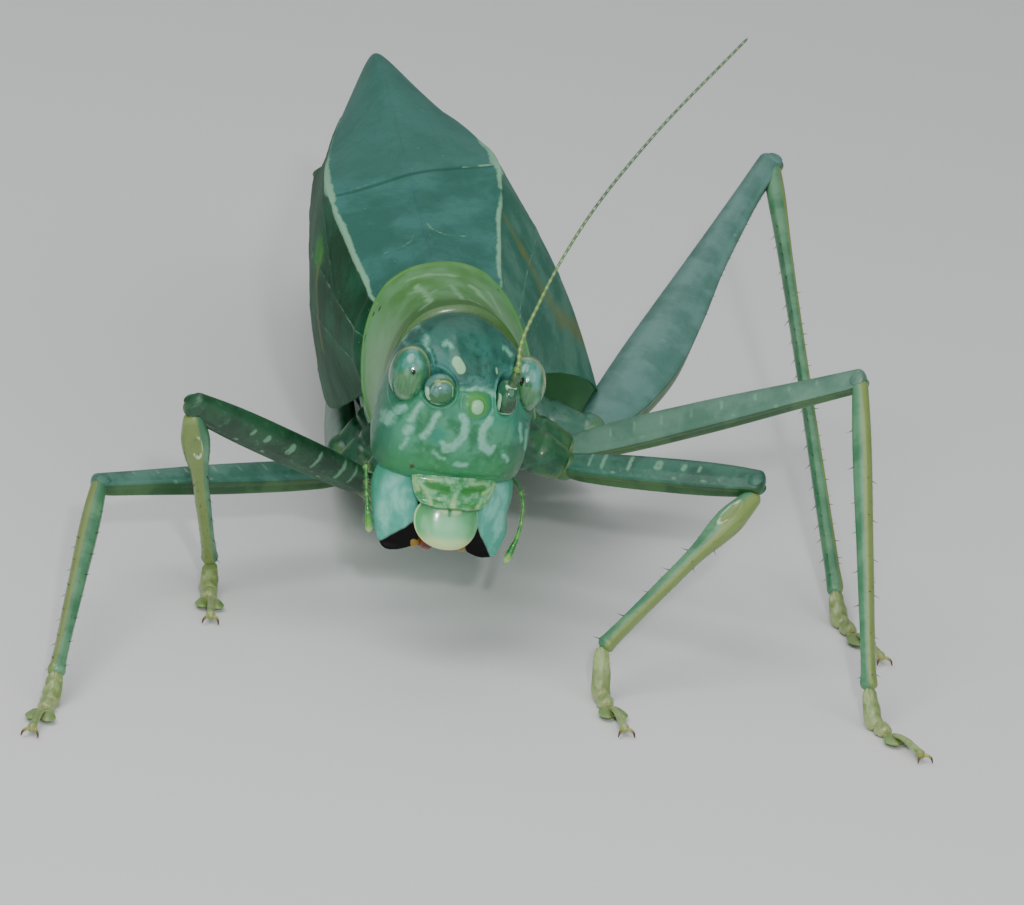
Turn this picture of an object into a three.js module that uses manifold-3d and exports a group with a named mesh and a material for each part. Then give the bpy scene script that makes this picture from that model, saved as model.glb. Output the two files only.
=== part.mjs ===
// A long-horned grasshopper, an angle-wing katydid, as a still life-size model standing on its six feet.
// Millimetres, +Z up. The head points to -Y and the animal's left side is +X. The floor is Z = 0.
import * as THREE from "three";
import { mergeVertices } from "three/addons/utils/BufferGeometryUtils.js";
import Module from "manifold-3d";

const wasm = await Module();
wasm.setup();

// Driving dimensions and angles.
const degrees = Math.PI / 180;
const cuticle = 0.55;          // thickness of wing covers and of the collar
const gap = 0.15;              // clearance left between neighbouring pieces
const bodyHeight = 13.8;       // front edge of the pronotum above the floor
const bodySide = -0.5;         // the same edge, sideways
const bodyPitch = 3;           // the tail end is lower by this
const bodyRoll = 11;           // the back leans to the animal's right by this
const headPlace = [-0.2, -2.5, 10.34];
const headYaw = 10;
const headNod = 2.3;
const headRoll = 3.25;         // the head is twisted back upright, a little past it
const eyeHalf = [0.82, 0.92, 1.18];
const eyePlace = [2.35, -1.0, 1.42];
const scapeOut = 1.3;          // middle of each feeler's socket, sideways
const scapeHeight = 1.15;
const feelerRadius = 0.28;
const tegmenStart = 6.75;      // behind the pronotum
const tegmenEnd = 50.5;
const footLength = 5;          // the length that the foot's table below is drawn for
const ankleHeight = 1.1;       // ankle above the floor in that table
const kneeEnd = 0.3;           // the thigh runs so far past the knee's middle

// Every place in the leg list: hip in the body's own frame, the rest above the floor.
// The hind right leg is stretched back, and its depth lies in the plane that holds the place "under".
const legs = [
  {
    name: "fore_l", kind: "fore", hip: [4.3, 3.4, -7.9],
    knee: [12.45, -1.0, 7.8], ankle: [6.3, -5.7, 1.9], toe: [6.9, -10.9],
  },
  {
    name: "fore_r", kind: "fore", hip: [-3.5, 3.4, -7.9],
    knee: [-10.3, -1.7, 9.3], ankle: [-8.4, 4.0, 1.1], toe: [-8.6, -0.8],
  },
  {
    name: "mid_l", kind: "mid", hip: [5.0, 8.6, -8.6],
    knee: [16.7, 2.9, 11.3], ankle: [16.9, -6.6, 1.4], toe: [18.6, -11.2],
  },
  {
    name: "mid_r", kind: "mid", hip: [-4.2, 8.6, -8.6],
    knee: [-13.4, 1.4, 4.8], ankle: [-15.3, -11.6, 1.1], toe: [-16.4, -16.3],
  },
  {
    name: "hind_l", kind: "hind", hip: [6.3, 12.8, -9.0],
    knee: [17.3, 33.6, 12.5], ankle: [17.6, 6.6, 1.2], toe: [18.9, 0.8],
  },
  {
    name: "hind_r", kind: "hind", hip: [-3.8, 12.8, -8.8],
    knee: [-0.8, 36.6, 2.0], ankle: [2.2, 63.2, 1.2], toe: [3.0, 69.2], under: [-1.6, 26, -5],
  },
];

// Half depth (in the plane of the leg) and half width by share of the length, and the rings between.
const coxaShape = {
  depth: [[0, 1.05], [0.6, 0.95], [1, 0.6]],
  width: [[0, 1.05], [0.6, 0.95], [1, 0.6]],
  rows: 3,
};
const femurShape = {
  fore: {
    depth: [[0, 0.5], [0.12, 0.62], [0.5, 0.74], [0.85, 0.68], [1, 0.52]],
    width: [[0, 0.42], [0.5, 0.52], [1, 0.42]],
    rows: 6,
  },
  mid: {
    depth: [[0, 0.55], [0.15, 0.7], [0.45, 0.72], [0.85, 0.52], [1, 0.46]],
    width: [[0, 0.42], [0.5, 0.52], [1, 0.42]],
    rows: 6,
  },
  hind: {
    depth: [
      [0, 0.75], [0.1, 1.15], [0.25, 1.34], [0.42, 1.15], [0.6, 0.82], [0.75, 0.68], [0.9, 0.56], [1, 0.68],
    ],
    width: [[0, 0.5], [0.28, 0.72], [0.6, 0.56], [0.9, 0.42], [1, 0.5]],
    belly: 0.8,
    rows: 10,
  },
};
const tibiaShape = {
  fore: {
    depth: [[0, 0.42], [0.1, 0.6], [0.24, 0.62], [0.38, 0.42], [0.9, 0.36], [1, 0.38]],
    width: [[0, 0.36], [0.18, 0.5], [0.34, 0.36], [1, 0.34]],
    drop: 0.7,
    rows: 9,
  },
  mid: {
    depth: [[0, 0.34], [0.1, 0.4], [0.6, 0.4], [1, 0.36]],
    width: [[0, 0.34], [0.5, 0.38], [1, 0.34]],
    rows: 4,
  },
  hind: {
    depth: [[0, 0.42], [0.06, 0.5], [0.2, 0.38], [1, 0.36]],
    width: [[0, 0.38], [0.5, 0.36], [1, 0.34]],
    rows: 5,
  },
};
// Foot: distance from the ankle, half width, underside and top. Three pads, the heart-shaped one
// last, then the narrow claw joint and the spread claws.
const footShape = [
  [0.08, 0.34, 0.85, 1.25], [0.5, 0.42, 0.3, 1.0], [0.9, 0.44, 0, 0.75], [1.5, 0.42, 0, 0.6],
  [1.7, 0.28, 0.08, 0.55], [1.95, 0.41, 0, 0.6], [2.3, 0.42, 0, 0.58], [2.5, 0.28, 0.08, 0.55],
  [2.9, 0.6, 0, 0.6], [3.35, 0.68, 0, 0.55], [3.65, 0.3, 0.05, 0.52], [4.3, 0.25, 0.05, 0.6],
  [4.75, 0.26, 0, 0.5], [5, 0.42, 0, 0.3],
];

const colours = {
  head: "#4c8a78", eye: "#8fb4a0", face: "#7fb56e", jaw: "#9ed3c0", mouth: "#b06a2c", palp: "#5fb24a",
  collar: "#9cc46c", belly: "#7aa489", wing: "#3f7a66", leg: "#4f8663", foot: "#a9b85a", feeler: "#6b8a54",
};

const vector = (place) => new THREE.Vector3(...place);

// Smooth value of a list of [place, value] stops.
function stopValue(stops, place) {
  if (place <= stops[0][0]) return stops[0][1];
  for (let i = 1; i < stops.length; i += 1) {
    const [to, high] = stops[i];
    const [from, low] = stops[i - 1];
    if (place <= to) {
      const share = (place - from) / (to - from);
      return low + (high - low) * share * share * (3 - 2 * share);
    }
  }
  return stops[stops.length - 1][1];
}

// Straight-line value of the same kind of list.
function lineValue(stops, place) {
  const last = stops.length - 1;
  if (place <= stops[0][0]) return stops[0][1];
  for (let i = 1; i <= last; i += 1) {
    const [to, high] = stops[i];
    const [from, low] = stops[i - 1];
    if (place <= to) return low + ((high - low) * (place - from)) / (to - from);
  }
  return stops[last][1];
}

// One closed body from vertices and faces, turned so that its faces point out.
function closedGeometry(points, faces) {
  let volume = 0;
  for (const [a, b, c] of faces) {
    volume += points[a].dot(new THREE.Vector3().crossVectors(points[b], points[c]));
  }
  const index = faces.flatMap(([a, b, c]) => (volume > 0 ? [a, b, c] : [a, c, b]));
  const geometry = new THREE.BufferGeometry();
  geometry.setAttribute("position", new THREE.Float32BufferAttribute(points.flatMap((p) => p.toArray()), 3));
  geometry.setIndex(index);
  return geometry;
}

// A skin over a row of rings with equal counts, with a fan over each end.
function loft(rings) {
  const count = rings[0].length;
  const points = rings.flat();
  const faces = [];
  for (let row = 0; row < rings.length - 1; row += 1) {
    for (let i = 0; i < count; i += 1) {
      const a = row * count + i;
      const b = row * count + ((i + 1) % count);
      faces.push([a, b, b + count], [a, b + count, a + count]);
    }
  }
  for (const row of [0, rings.length - 1]) {
    const centre = points.length;
    points.push(rings[row].reduce((sum, p) => sum.add(p), new THREE.Vector3()).divideScalar(count));
    for (let i = 0; i < count; i += 1) {
      const a = row * count + i;
      const b = row * count + ((i + 1) % count);
      faces.push(row === 0 ? [centre, b, a] : [centre, a, b]);
    }
  }
  return closedGeometry(points, faces);
}

// A curved plate: an outer surface(u, v), and the same moved in by the thickness.
// keepSide 1 or -1 holds the inner face on that side of the middle.
function plate(surface, rows, columns, thickness, keepSide = 0) {
  const point = (u, v) => vector(surface(u, v));
  const outer = [];
  const inner = [];
  const step = 0.001;
  for (let i = 0; i <= rows; i += 1) {
    for (let j = 0; j <= columns; j += 1) {
      const u = i / rows;
      const v = j / columns;
      const along = point(Math.min(u + step, 1), v).sub(point(Math.max(u - step, 0), v));
      const across = point(u, Math.min(v + step, 1)).sub(point(u, Math.max(v - step, 0)));
      const normal = along.cross(across).normalize();
      outer.push(point(u, v));
      const moved = point(u, v).addScaledVector(normal, thickness);
      if (keepSide !== 0) moved.x = keepSide * Math.max(keepSide * moved.x, gap);
      inner.push(moved);
    }
  }
  const points = [...outer, ...inner];
  const shift = outer.length;
  const at = (i, j) => i * (columns + 1) + j;
  const faces = [];
  for (let i = 0; i < rows; i += 1) {
    for (let j = 0; j < columns; j += 1) {
      const [a, b, c, d] = [at(i, j), at(i, j + 1), at(i + 1, j + 1), at(i + 1, j)];
      faces.push([a, b, c], [a, c, d], [a + shift, c + shift, b + shift], [a + shift, d + shift, c + shift]);
    }
  }
  const wall = (a, b) => faces.push([b, a, a + shift], [b, a + shift, b + shift]);
  for (let j = 0; j < columns; j += 1) {
    wall(at(0, j), at(0, j + 1));
    wall(at(rows, j + 1), at(rows, j));
  }
  for (let i = 0; i < rows; i += 1) {
    wall(at(i + 1, 0), at(i, 0));
    wall(at(i, columns), at(i + 1, columns));
  }
  return closedGeometry(points, faces);
}

// A flat ring of points around a centre, with half sizes along two directions.
function ovalRing(centre, side, sideHalf, up, upHalf, count) {
  const ring = [];
  for (let i = 0; i < count; i += 1) {
    const angle = (2 * Math.PI * i) / count;
    const p = centre.clone().addScaledVector(side, sideHalf * Math.cos(angle));
    ring.push(p.addScaledVector(up, upHalf * Math.sin(angle)));
  }
  return ring;
}

function solid(geometry) {
  const bare = geometry.clone();
  bare.deleteAttribute("normal");
  bare.deleteAttribute("uv");
  const merged = mergeVertices(bare, 1e-5);
  return new wasm.Manifold(new wasm.Mesh({
    numProp: 3,
    vertProperties: new Float32Array(merged.attributes.position.array),
    triVerts: new Uint32Array(merged.index.array),
  }));
}

function cut(geometry, ...tools) {
  let body = solid(geometry);
  for (const tool of tools) body = body.subtract(solid(tool));
  const mesh = body.getMesh();
  const result = new THREE.BufferGeometry();
  result.setAttribute("position", new THREE.Float32BufferAttribute(mesh.vertProperties, 3));
  result.setIndex(Array.from(mesh.triVerts));
  return result;
}

function piece(parent, name, geometry, colour) {
  const material = new THREE.MeshStandardMaterial({ color: colours[colour], roughness: 0.5, metalness: 0 });
  const mesh = new THREE.Mesh(geometry, material);
  mesh.name = name;
  parent.add(mesh);
  return mesh;
}

// A ball stretched to three half sizes.
function ovoid(place, half, across, down) {
  const geometry = new THREE.SphereGeometry(1, across, down);
  geometry.rotateX(Math.PI / 2);
  geometry.scale(...half);
  geometry.translate(...place);
  return geometry;
}

// --- Head, in its own frame: the origin is inside it, -Y is the face and +Z the crown ---
function cranium(grow) {
  const heights = [-2.75, -2.45, -1.9, -1.2, -0.3, 0.6, 1.4, 2.1, 2.7, 3.2, 3.5];
  const half = [
    [-2.75, 2.5], [-2.2, 2.92], [-1.0, 3.1], [0.3, 2.95], [1.4, 2.7], [2.4, 2.2], [3.1, 1.45], [3.5, 0.6],
  ];
  const front = [
    [-2.75, 1.2], [-2.3, 2.0], [-1.65, 2.35], [-0.6, 2.6], [0.9, 2.4], [2.0, 1.7], [2.9, 0.7], [3.5, -0.2],
  ];
  const rear = [[-2.75, 1.4], [-1.8, 2.2], [0, 2.5], [2.0, 2.6], [3.0, 2.0], [3.5, 1.3]];
  const squareness = 0.82;
  const rings = heights.map((height) => {
    const ring = [];
    const sides = 22;
    for (let i = 0; i < sides; i += 1) {
      const angle = (2 * Math.PI * i) / sides;
      const x = Math.sign(Math.cos(angle)) * Math.abs(Math.cos(angle)) ** squareness;
      const y = Math.sign(Math.sin(angle)) * Math.abs(Math.sin(angle)) ** squareness;
      const depth = y < 0 ? lineValue(front, height) : lineValue(rear, height);
      ring.push(new THREE.Vector3(x * (lineValue(half, height) + grow), y * (depth + grow), height));
    }
    return ring;
  });
  return loft(rings);
}

// A jaw: height of each ring, its middle outward, half width and half depth.
function mandible(side) {
  const stations = [
    [-2.9, 2.2, 0.72, 1.0], [-3.5, 2.14, 0.7, 0.95], [-4.3, 2.1, 0.62, 0.8],
    [-5.0, 2.05, 0.45, 0.5], [-5.55, 1.95, 0.22, 0.25],
  ];
  const across = new THREE.Vector3(1, 0, 0);
  const back = new THREE.Vector3(0, 1, 0);
  const rings = stations.map(([height, out, halfWide, halfDeep]) => {
    const centre = new THREE.Vector3(side * out, -0.75, height);
    return ovalRing(centre, across, halfWide, back, halfDeep, 10);
  });
  return loft(rings);
}

// A bent tube of round section through a few places.
function tube(places, radius, steps, sides) {
  const curve = new THREE.CatmullRomCurve3(places.map(vector));
  const rings = [];
  const frames = curve.computeFrenetFrames(steps, false);
  for (let i = 0; i <= steps; i += 1) {
    const share = i / steps;
    const r = typeof radius === "number" ? radius : lineValue(radius, share);
    rings.push(ovalRing(curve.getPointAt(share), frames.normals[i], r, frames.binormals[i], r, sides));
  }
  return loft(rings);
}

function clypeusSurface(u, v) {
  const half = 1.75 - 0.35 * u;
  const x = half * (2 * v - 1);
  return [x, -2.0 - 0.2 * u + 0.12 * x * x, -2.3 - 1.12 * u];
}

// A round-ended shield.
function labrumSurface(u, v) {
  const half = 1.3 * Math.sqrt(1 - 0.92 * u ** 3.2);
  const x = half * (2 * v - 1);
  return [x, -1.75 - 0.6 * u + 0.22 * x * x, -3.57 - 1.6 * u];
}

function buildHead(parent) {
  const head = new THREE.Group();
  head.position.set(...headPlace);
  head.rotation.set(headNod * degrees, headRoll * degrees, headYaw * degrees, "ZXY");
  parent.add(head);
  const [eyeX, eyeY, eyeZ] = eyePlace;
  const grown = eyeHalf.map((half) => half + gap);
  const sockets = [-1, 1].map((side) => ovoid([side * eyeX, eyeY, eyeZ], grown, 12, 8));
  const scapeSeats = [-1, 1].map((side) => {
    return ovoid([side * scapeOut, -2.05, scapeHeight], [0.62, 0.8, 0.62], 8, 6);
  });
  const lipSeat = new THREE.BoxGeometry(3.9, 2.0, 0.9);
  lipSeat.translate(0, -1.95, -2.6);
  piece(head, "head", cut(cranium(0), ...sockets, ...scapeSeats, lipSeat), "head");
  piece(head, "antenna_r", ovoid([-scapeOut, -2.2, scapeHeight], [0.48, 0.75, 0.48], 10, 8), "feeler");
  piece(head, "clypeus", plate(clypeusSurface, 3, 6, -cuticle), "face");
  piece(head, "labrum", plate(labrumSurface, 5, 6, -cuticle), "face");
  piece(head, "labium", ovoid([0, 0.5, -4.0], [1.0, 0.45, 1.0], 10, 6), "mouth");
  for (const [side, letter] of [[1, "l"], [-1, "r"]]) {
    piece(head, `eye_${letter}`, ovoid([side * eyeX, eyeY, eyeZ], eyeHalf, 12, 9), "eye");
    piece(head, `mandible_${letter}`, mandible(side), "jaw");
    piece(head, `maxilla_${letter}`, ovoid([side * 0.62, -0.6, -4.15], [0.5, 0.42, 1.1], 8, 6), "mouth");
    // The left feeler of the mouth hangs lower than the right one.
    const drop = side > 0 ? 0.35 : 0;
    const palp = [
      [side * 2.3, 0.9, -3.15], [side * 3.25, 0.1, -3.1],
      [side * 3.3, -0.7, -3.9 - drop], [side * (2.95 - drop), -1.1, -4.9 - 2 * drop],
    ];
    piece(head, `palp_${letter}`, tube(palp, 0.27, 8, 7), "palp");
  }
  return head;
}

// The long feeler on the left, out to its tip; the right one has lost its whip.
function buildFeeler(parent) {
  const places = [
    [1.3, -4.3, 11.3], [1.6, -4.8, 12.2], [1.85, -4.4, 13.3], [2.53, -3.5, 15.14],
    [4.2, -2.5, 18.48], [6.29, -1.7, 21.49], [9.79, -0.6, 25.65],
  ];
  const radius = [[0, 0.42], [0.06, 0.4], [0.12, feelerRadius], [1, feelerRadius]];
  piece(parent, "antenna_l", tube(places, radius, 22, 6), "feeler");
}

// --- Body, in its own frame: the origin is the front edge of the pronotum ---
// An arch: u runs back, v runs over it from the right lower edge to the left one.
function pronotumSurface(u, v) {
  const angle = (0.5 - v) * Math.PI;
  const lobe = Math.abs(2 * v - 1);
  const front = -0.35 + 0.9 * lobe ** 3;
  const rear = 6.3 - 1.7 * lobe ** 2;
  const half = 2.75 + 0.45 * u + 0.2 * lobe;
  const x = -half * Math.sign(Math.sin(angle)) * Math.abs(Math.sin(angle)) ** 0.8;
  const top = 0.25 * u - 0.25 * Math.sin(Math.PI * u);
  const lobeDepth = 5.5 - 1.0 * (2 * u - 1) ** 2;
  return [x, front + (rear - front) * u, top - lobeDepth * (1 - Math.abs(Math.cos(angle)) ** 0.9)];
}

// Rings of a trunk whose width, top and underside are given along its length.
function trunkRings(stations, width, top, under, sides, pear) {
  return stations.map((y) => {
    const half = stopValue(width, y);
    const high = stopValue(top, y);
    const low = stopValue(under, y);
    const ring = [];
    for (let i = 0; i < sides; i += 1) {
      const angle = (2 * Math.PI * i) / sides;
      const z = Math.sign(Math.sin(angle)) * Math.abs(Math.sin(angle)) ** 0.85;
      const x = Math.sign(Math.cos(angle)) * Math.abs(Math.cos(angle)) ** 0.85 * (1 - pear * z);
      ring.push(new THREE.Vector3(x * half, y, (high + low) / 2 + (z * (high - low)) / 2));
    }
    return ring;
  });
}

// The thorax, with the neck at its front, grown sideways and up by a share of its size.
function thorax(grow = 1) {
  const stations = [-0.8, 0.2, 1.0, 1.6, 2.6, 4.2, 6.2, 8.4, 10.6, 12.8, 14.4, 15.0];
  const width = [[-0.8, 1.3], [0.6, 1.6], [3.5, 2.25], [6.5, 2.4], [11, 2.9], [15, 2.8]];
  const top = [[-0.8, -2.4], [1.0, -1.8], [3, -1.15], [6.5, -1.2], [15, -1.5]];
  const under = [[-0.8, -5.2], [1.0, -6.6], [3, -8.0], [8, -9.6], [15, -9.6]];
  const middle = new THREE.Vector3(0, 8, -5.5);
  const geometry = loft(trunkRings(stations, width, top, under, 16, 0.14));
  geometry.translate(-middle.x, -middle.y, -middle.z);
  geometry.scale(grow, (1 + grow) / 2, grow);
  geometry.translate(middle.x, middle.y, middle.z);
  return geometry;
}

// Nine rings of the abdomen, each a little fuller than the seams between them.
function abdomen() {
  const first = 15.3;
  const last = 33.5;
  const width = [[15.3, 2.4], [20, 2.6], [26, 2.4], [31, 1.7], [33.5, 0.9]];
  const top = [[15.3, -2.0], [20, -1.8], [27, -3.4], [33.5, -6.4]];
  const under = [[15.3, -9.7], [20, -11.3], [26, -11.5], [33.5, -8.6]];
  const stations = [];
  const segments = 9;
  for (let i = 0; i <= 2 * segments; i += 1) stations.push(first + ((last - first) * i) / (2 * segments));
  const rings = trunkRings(stations, width, top, under, 14, 0);
  rings.forEach((ring, i) => {
    if (i % 2 === 0) return;
    const centre = ring.reduce((sum, p) => sum.add(p), new THREE.Vector3()).divideScalar(ring.length);
    ring.forEach((p) => p.sub(centre).multiplyScalar(1.04).add(centre));
  });
  return loft(rings);
}

// A wing cover from its ridge (v = 0) over the shoulder line to its lower margin (v = 1).
// Each list gives places along the body with the size there; the left cover lies more open.
const ridgeHeight = [
  [6.75, 0.2], [10, 0.8], [15, 2.15], [21, 3.9], [26.5, 5.1], [34, 2.6], [42, -0.5], [50.5, -4.0],
];
const shoulderOut = {
  l: [[6.75, 2.65], [10, 3.05], [15, 3.75], [20, 3.35], [26.5, 2.4], [34, 1.9], [42, 1.5], [50.5, 0.8]],
  r: [[6.75, 2.65], [10, 3.05], [15, 3.45], [20, 2.85], [26.5, 1.85], [34, 1.6], [42, 1.4], [50.5, 0.8]],
};
const shoulderHeight = [
  [6.75, -0.8], [10, 0.45], [15, 2.05], [20, 2.3], [26.5, 2.3], [34, 0.3], [42, -2.2], [50.5, -4.5],
];
const marginOut = {
  l: [[6.75, 3.3], [10, 4.9], [15, 7.1], [19, 7.5], [24, 7.0], [30, 5.6], [36, 3.9], [44, 2.1], [50.5, 1.0]],
  r: [[6.75, 3.1], [10, 3.7], [15, 4.1], [20, 4.0], [27, 3.7], [36, 2.9], [44, 1.9], [50.5, 1.0]],
};
const marginHeight = {
  l: [
    [6.75, -4.9], [11, -5.6], [15, -6.8], [18, -9.6], [22, -12.0], [28, -12.3], [36, -10.6], [44, -8.0],
    [50.5, -5.3],
  ],
  r: [
    [6.75, -4.9], [11, -6.4], [15, -7.4], [20, -7.9], [28, -7.9], [36, -8.1], [44, -7.2], [50.5, -5.3],
  ],
};
const sideBulge = { l: 0.5, r: 0.7 };
const dorsalShare = 0.34;

function tegmenSurface(letter) {
  const side = letter === "l" ? 1 : -1;
  return (u, v) => {
    const front = tegmenStart - 1.65 * v ** 1.5;
    const y = front + (tegmenEnd - front) * u;
    const shoulder = [lineValue(shoulderOut[letter], y), lineValue(shoulderHeight, y)];
    let place;
    if (v < dorsalShare) {
      const t = v / dorsalShare;
      const ridge = [gap, lineValue(ridgeHeight, y)];
      place = [ridge[0] + (shoulder[0] - ridge[0]) * t, ridge[1] + (shoulder[1] - ridge[1]) * t];
    } else {
      const t = (v - dorsalShare) / (1 - dorsalShare);
      const margin = [stopValue(marginOut[letter], y), stopValue(marginHeight[letter], y)];
      const bulge = sideBulge[letter] * Math.sin(Math.PI * t);
      place = [
        shoulder[0] + (margin[0] - shoulder[0]) * t + bulge,
        shoulder[1] + (margin[1] - shoulder[1]) * t,
      ];
    }
    return [side * place[0], y, place[1]];
  };
}

// The folded hind wing: an upright leaf between the wing covers, its tip standing out behind them.
function hindWing(side) {
  const outline = new THREE.Shape();
  outline.moveTo(39, -4.4);
  outline.quadraticCurveTo(48, -4.7, 54.5, -5.7);
  outline.quadraticCurveTo(48, -7.2, 39, -7.4);
  outline.closePath();
  const settings = { depth: cuticle, bevelEnabled: false, curveSegments: 8 };
  const geometry = new THREE.ExtrudeGeometry(outline, settings);
  // Outline x runs back and outline y up. The thickness runs sideways.
  const inner = side > 0 ? gap / 2 : -gap / 2 - cuticle;
  const turn = new THREE.Matrix4().makeBasis(
    new THREE.Vector3(0, 1, 0), new THREE.Vector3(0, 0, 1), new THREE.Vector3(1, 0, 0),
  );
  geometry.applyMatrix4(turn.setPosition(inner, 0, 0));
  return geometry;
}

// A limb piece from one place to another, starting and ending so far beyond them.
// Its depth lies in the plane that holds the third place, and it can be grown all round.
function limb(from, to, planePlace, shape, starts, ends, grow = 0) {
  const along = to.clone().sub(from);
  const first = starts - grow;
  const last = along.length() + ends + grow;
  const cap = 0.16;
  const capSize = 0.6;
  along.normalize();
  const side = along.clone().cross(planePlace.clone().sub(from)).normalize();
  const deep = side.clone().cross(along).normalize();
  const slim = shape.depth[shape.depth.length - 1][1];
  const ringAt = (distance, share, size) => {
    const depth = stopValue(shape.depth, share);
    const centre = from.clone().addScaledVector(along, distance);
    centre.addScaledVector(deep, (shape.belly ?? 0) * (depth - slim));
    const width = stopValue(shape.width, share);
    return ovalRing(centre, side, size * width + grow, deep, size * depth + grow, 8);
  };
  const rings = [ringAt(first, 0, capSize)];
  for (let i = 0; i <= shape.rows; i += 1) {
    const share = i / shape.rows;
    rings.push(ringAt(first + cap + (last - first - 2 * cap) * share, share, 1));
  }
  rings.push(ringAt(last, 1, capSize));
  return loft(rings);
}

// A foot flat on the floor: pads with level undersides, and the narrow claw joint at its end.
function foot(ankle, toe) {
  const along = toe.clone().sub(ankle);
  along.z = 0;
  const stretch = along.length() / footLength;
  along.normalize();
  const side = new THREE.Vector3(-along.y, along.x, 0);
  const rings = footShape.map(([distance, half, under, top], i) => {
    const lift = i < 2 ? (ankle.z - ankleHeight) * (1 - i / 2) : 0;
    const low = under + lift;
    const high = top + lift;
    const waist = low + 0.4 * (high - low);
    const centre = ankle.clone().addScaledVector(along, distance * stretch);
    const corners = [[-0.8, low], [0.8, low], [1, waist], [0.7, high], [-0.7, high], [-1, waist]];
    return corners.map(([share, height]) => {
      return new THREE.Vector3(centre.x, centre.y, height).addScaledVector(side, share * half);
    });
  });
  return loft(rings);
}

function buildBody(parent, head) {
  const body = new THREE.Group();
  body.position.set(bodySide, 0, bodyHeight);
  body.rotation.set(-bodyPitch * degrees, -bodyRoll * degrees, 0, "XYZ");
  parent.add(body);
  parent.updateMatrixWorld(true);
  // The back of the head, seen from the body, grown by the clearance.
  const headSeat = cranium(gap);
  headSeat.applyMatrix4(head.matrixWorld);
  headSeat.applyMatrix4(body.matrixWorld.clone().invert());
  const ovipositorPath = [[0, 33.9, -7.6], [0, 36, -7.4], [0, 38, -6.2]];
  piece(body, "pronotum", plate(pronotumSurface, 6, 16, cuticle), "collar");
  piece(body, "thorax", cut(thorax(), headSeat), "belly");
  piece(body, "abdomen", abdomen(), "belly");
  piece(body, "ovipositor", tube(ovipositorPath, [[0, 0.75], [0.6, 0.6], [1, 0.3]], 6, 8), "belly");
  for (const [side, letter] of [[1, "l"], [-1, "r"]]) {
    const cercusPath = [[side * 0.75, 33.7, -6.3], [side * 1.3, 35.6, -5.9]];
    piece(body, `cercus_${letter}`, tube(cercusPath, [[0, 0.32], [1, 0.27]], 3, 6), "belly");
    piece(body, `tegmen_${letter}`, plate(tegmenSurface(letter), 18, 9, side * cuticle, side), "wing");
    piece(body, `hind_wing_${letter}`, hindWing(side), "wing");
  }
  for (const { name, hip } of legs) {
    const end = vector(hip);
    const start = new THREE.Vector3(hip[0] * 0.45, hip[1] - 0.2, hip[2] + 1.3);
    const coxa = limb(start, end, new THREE.Vector3(0, hip[1] + 5, hip[2]), coxaShape, 0, -0.42);
    piece(body, `coxa_${name}`, cut(coxa, thorax(1.05)), "leg");
  }
  return body;
}

function buildLegs(parent, body) {
  for (const { name, kind, hip, knee, ankle, toe, under } of legs) {
    const hipPlace = body.localToWorld(vector(hip));
    const kneePlace = vector(knee);
    const anklePlace = vector(ankle);
    const toePlace = new THREE.Vector3(toe[0], toe[1], 0);
    // The straighter the ankle, the nearer the shin comes to the foot.
    const bend = anklePlace.clone().sub(kneePlace).angleTo(toePlace.clone().sub(anklePlace));
    const ankleRoom = 0.05 + 0.25 * Math.min(1 - Math.cos(bend), 1);
    const femurPlane = under ? vector(under) : anklePlace;
    const tibiaPlane = under ? vector(under) : hipPlace;
    const thigh = (grow) => limb(hipPlace, kneePlace, femurPlane, femurShape[kind], gap, kneeEnd, grow);
    const shinTop = kneePlace.clone();
    shinTop.z -= tibiaShape[kind].drop ?? 0;
    const shin = limb(shinTop, anklePlace, tibiaPlane, tibiaShape[kind], 0, -ankleRoom);
    piece(parent, `femur_${name}`, thigh(0), "leg");
    piece(parent, `tibia_${name}`, cut(shin, thigh(gap)), "leg");
    piece(parent, `tarsus_${name}`, foot(anklePlace, toePlace), "foot");
  }
}

const model = new THREE.Group();
const head = buildHead(model);
buildFeeler(model);
const body = buildBody(model, head);
buildLegs(model, body);

// The origin is on the floor, under the middle of the whole.
model.updateMatrixWorld(true);
const box = new THREE.Box3().setFromObject(model, true);
const middle = box.getCenter(new THREE.Vector3());
model.position.set(-middle.x, -middle.y, -box.min.z);
model.updateMatrixWorld(true);

export default model;
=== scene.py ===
import bpy
import numpy as np
from mathutils import Matrix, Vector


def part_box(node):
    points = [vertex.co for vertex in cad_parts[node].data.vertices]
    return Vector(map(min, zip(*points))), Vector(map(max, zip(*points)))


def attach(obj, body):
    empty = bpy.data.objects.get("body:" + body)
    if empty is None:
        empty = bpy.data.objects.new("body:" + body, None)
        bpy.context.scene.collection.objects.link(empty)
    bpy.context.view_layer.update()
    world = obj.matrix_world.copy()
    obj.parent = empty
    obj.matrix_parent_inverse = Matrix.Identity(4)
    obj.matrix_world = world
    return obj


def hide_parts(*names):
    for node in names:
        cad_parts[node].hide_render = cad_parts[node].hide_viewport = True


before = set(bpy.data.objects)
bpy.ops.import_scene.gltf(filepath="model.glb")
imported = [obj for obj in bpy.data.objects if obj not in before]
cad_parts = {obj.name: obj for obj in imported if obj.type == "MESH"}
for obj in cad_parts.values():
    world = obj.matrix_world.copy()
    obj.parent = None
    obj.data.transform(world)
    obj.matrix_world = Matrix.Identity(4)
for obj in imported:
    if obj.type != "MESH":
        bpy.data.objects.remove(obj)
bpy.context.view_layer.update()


def turn(axis, angle):  # rotation matrix about one axis, in degrees
    c, s = np.cos(np.radians(angle)), np.sin(np.radians(angle))
    return {
        "x": np.array([[1, 0, 0], [0, c, -s], [0, s, c]]),
        "y": np.array([[c, 0, s], [0, 1, 0], [-s, 0, c]]),
        "z": np.array([[c, -s, 0], [s, c, 0], [0, 0, 1]]),
    }[axis]


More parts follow.
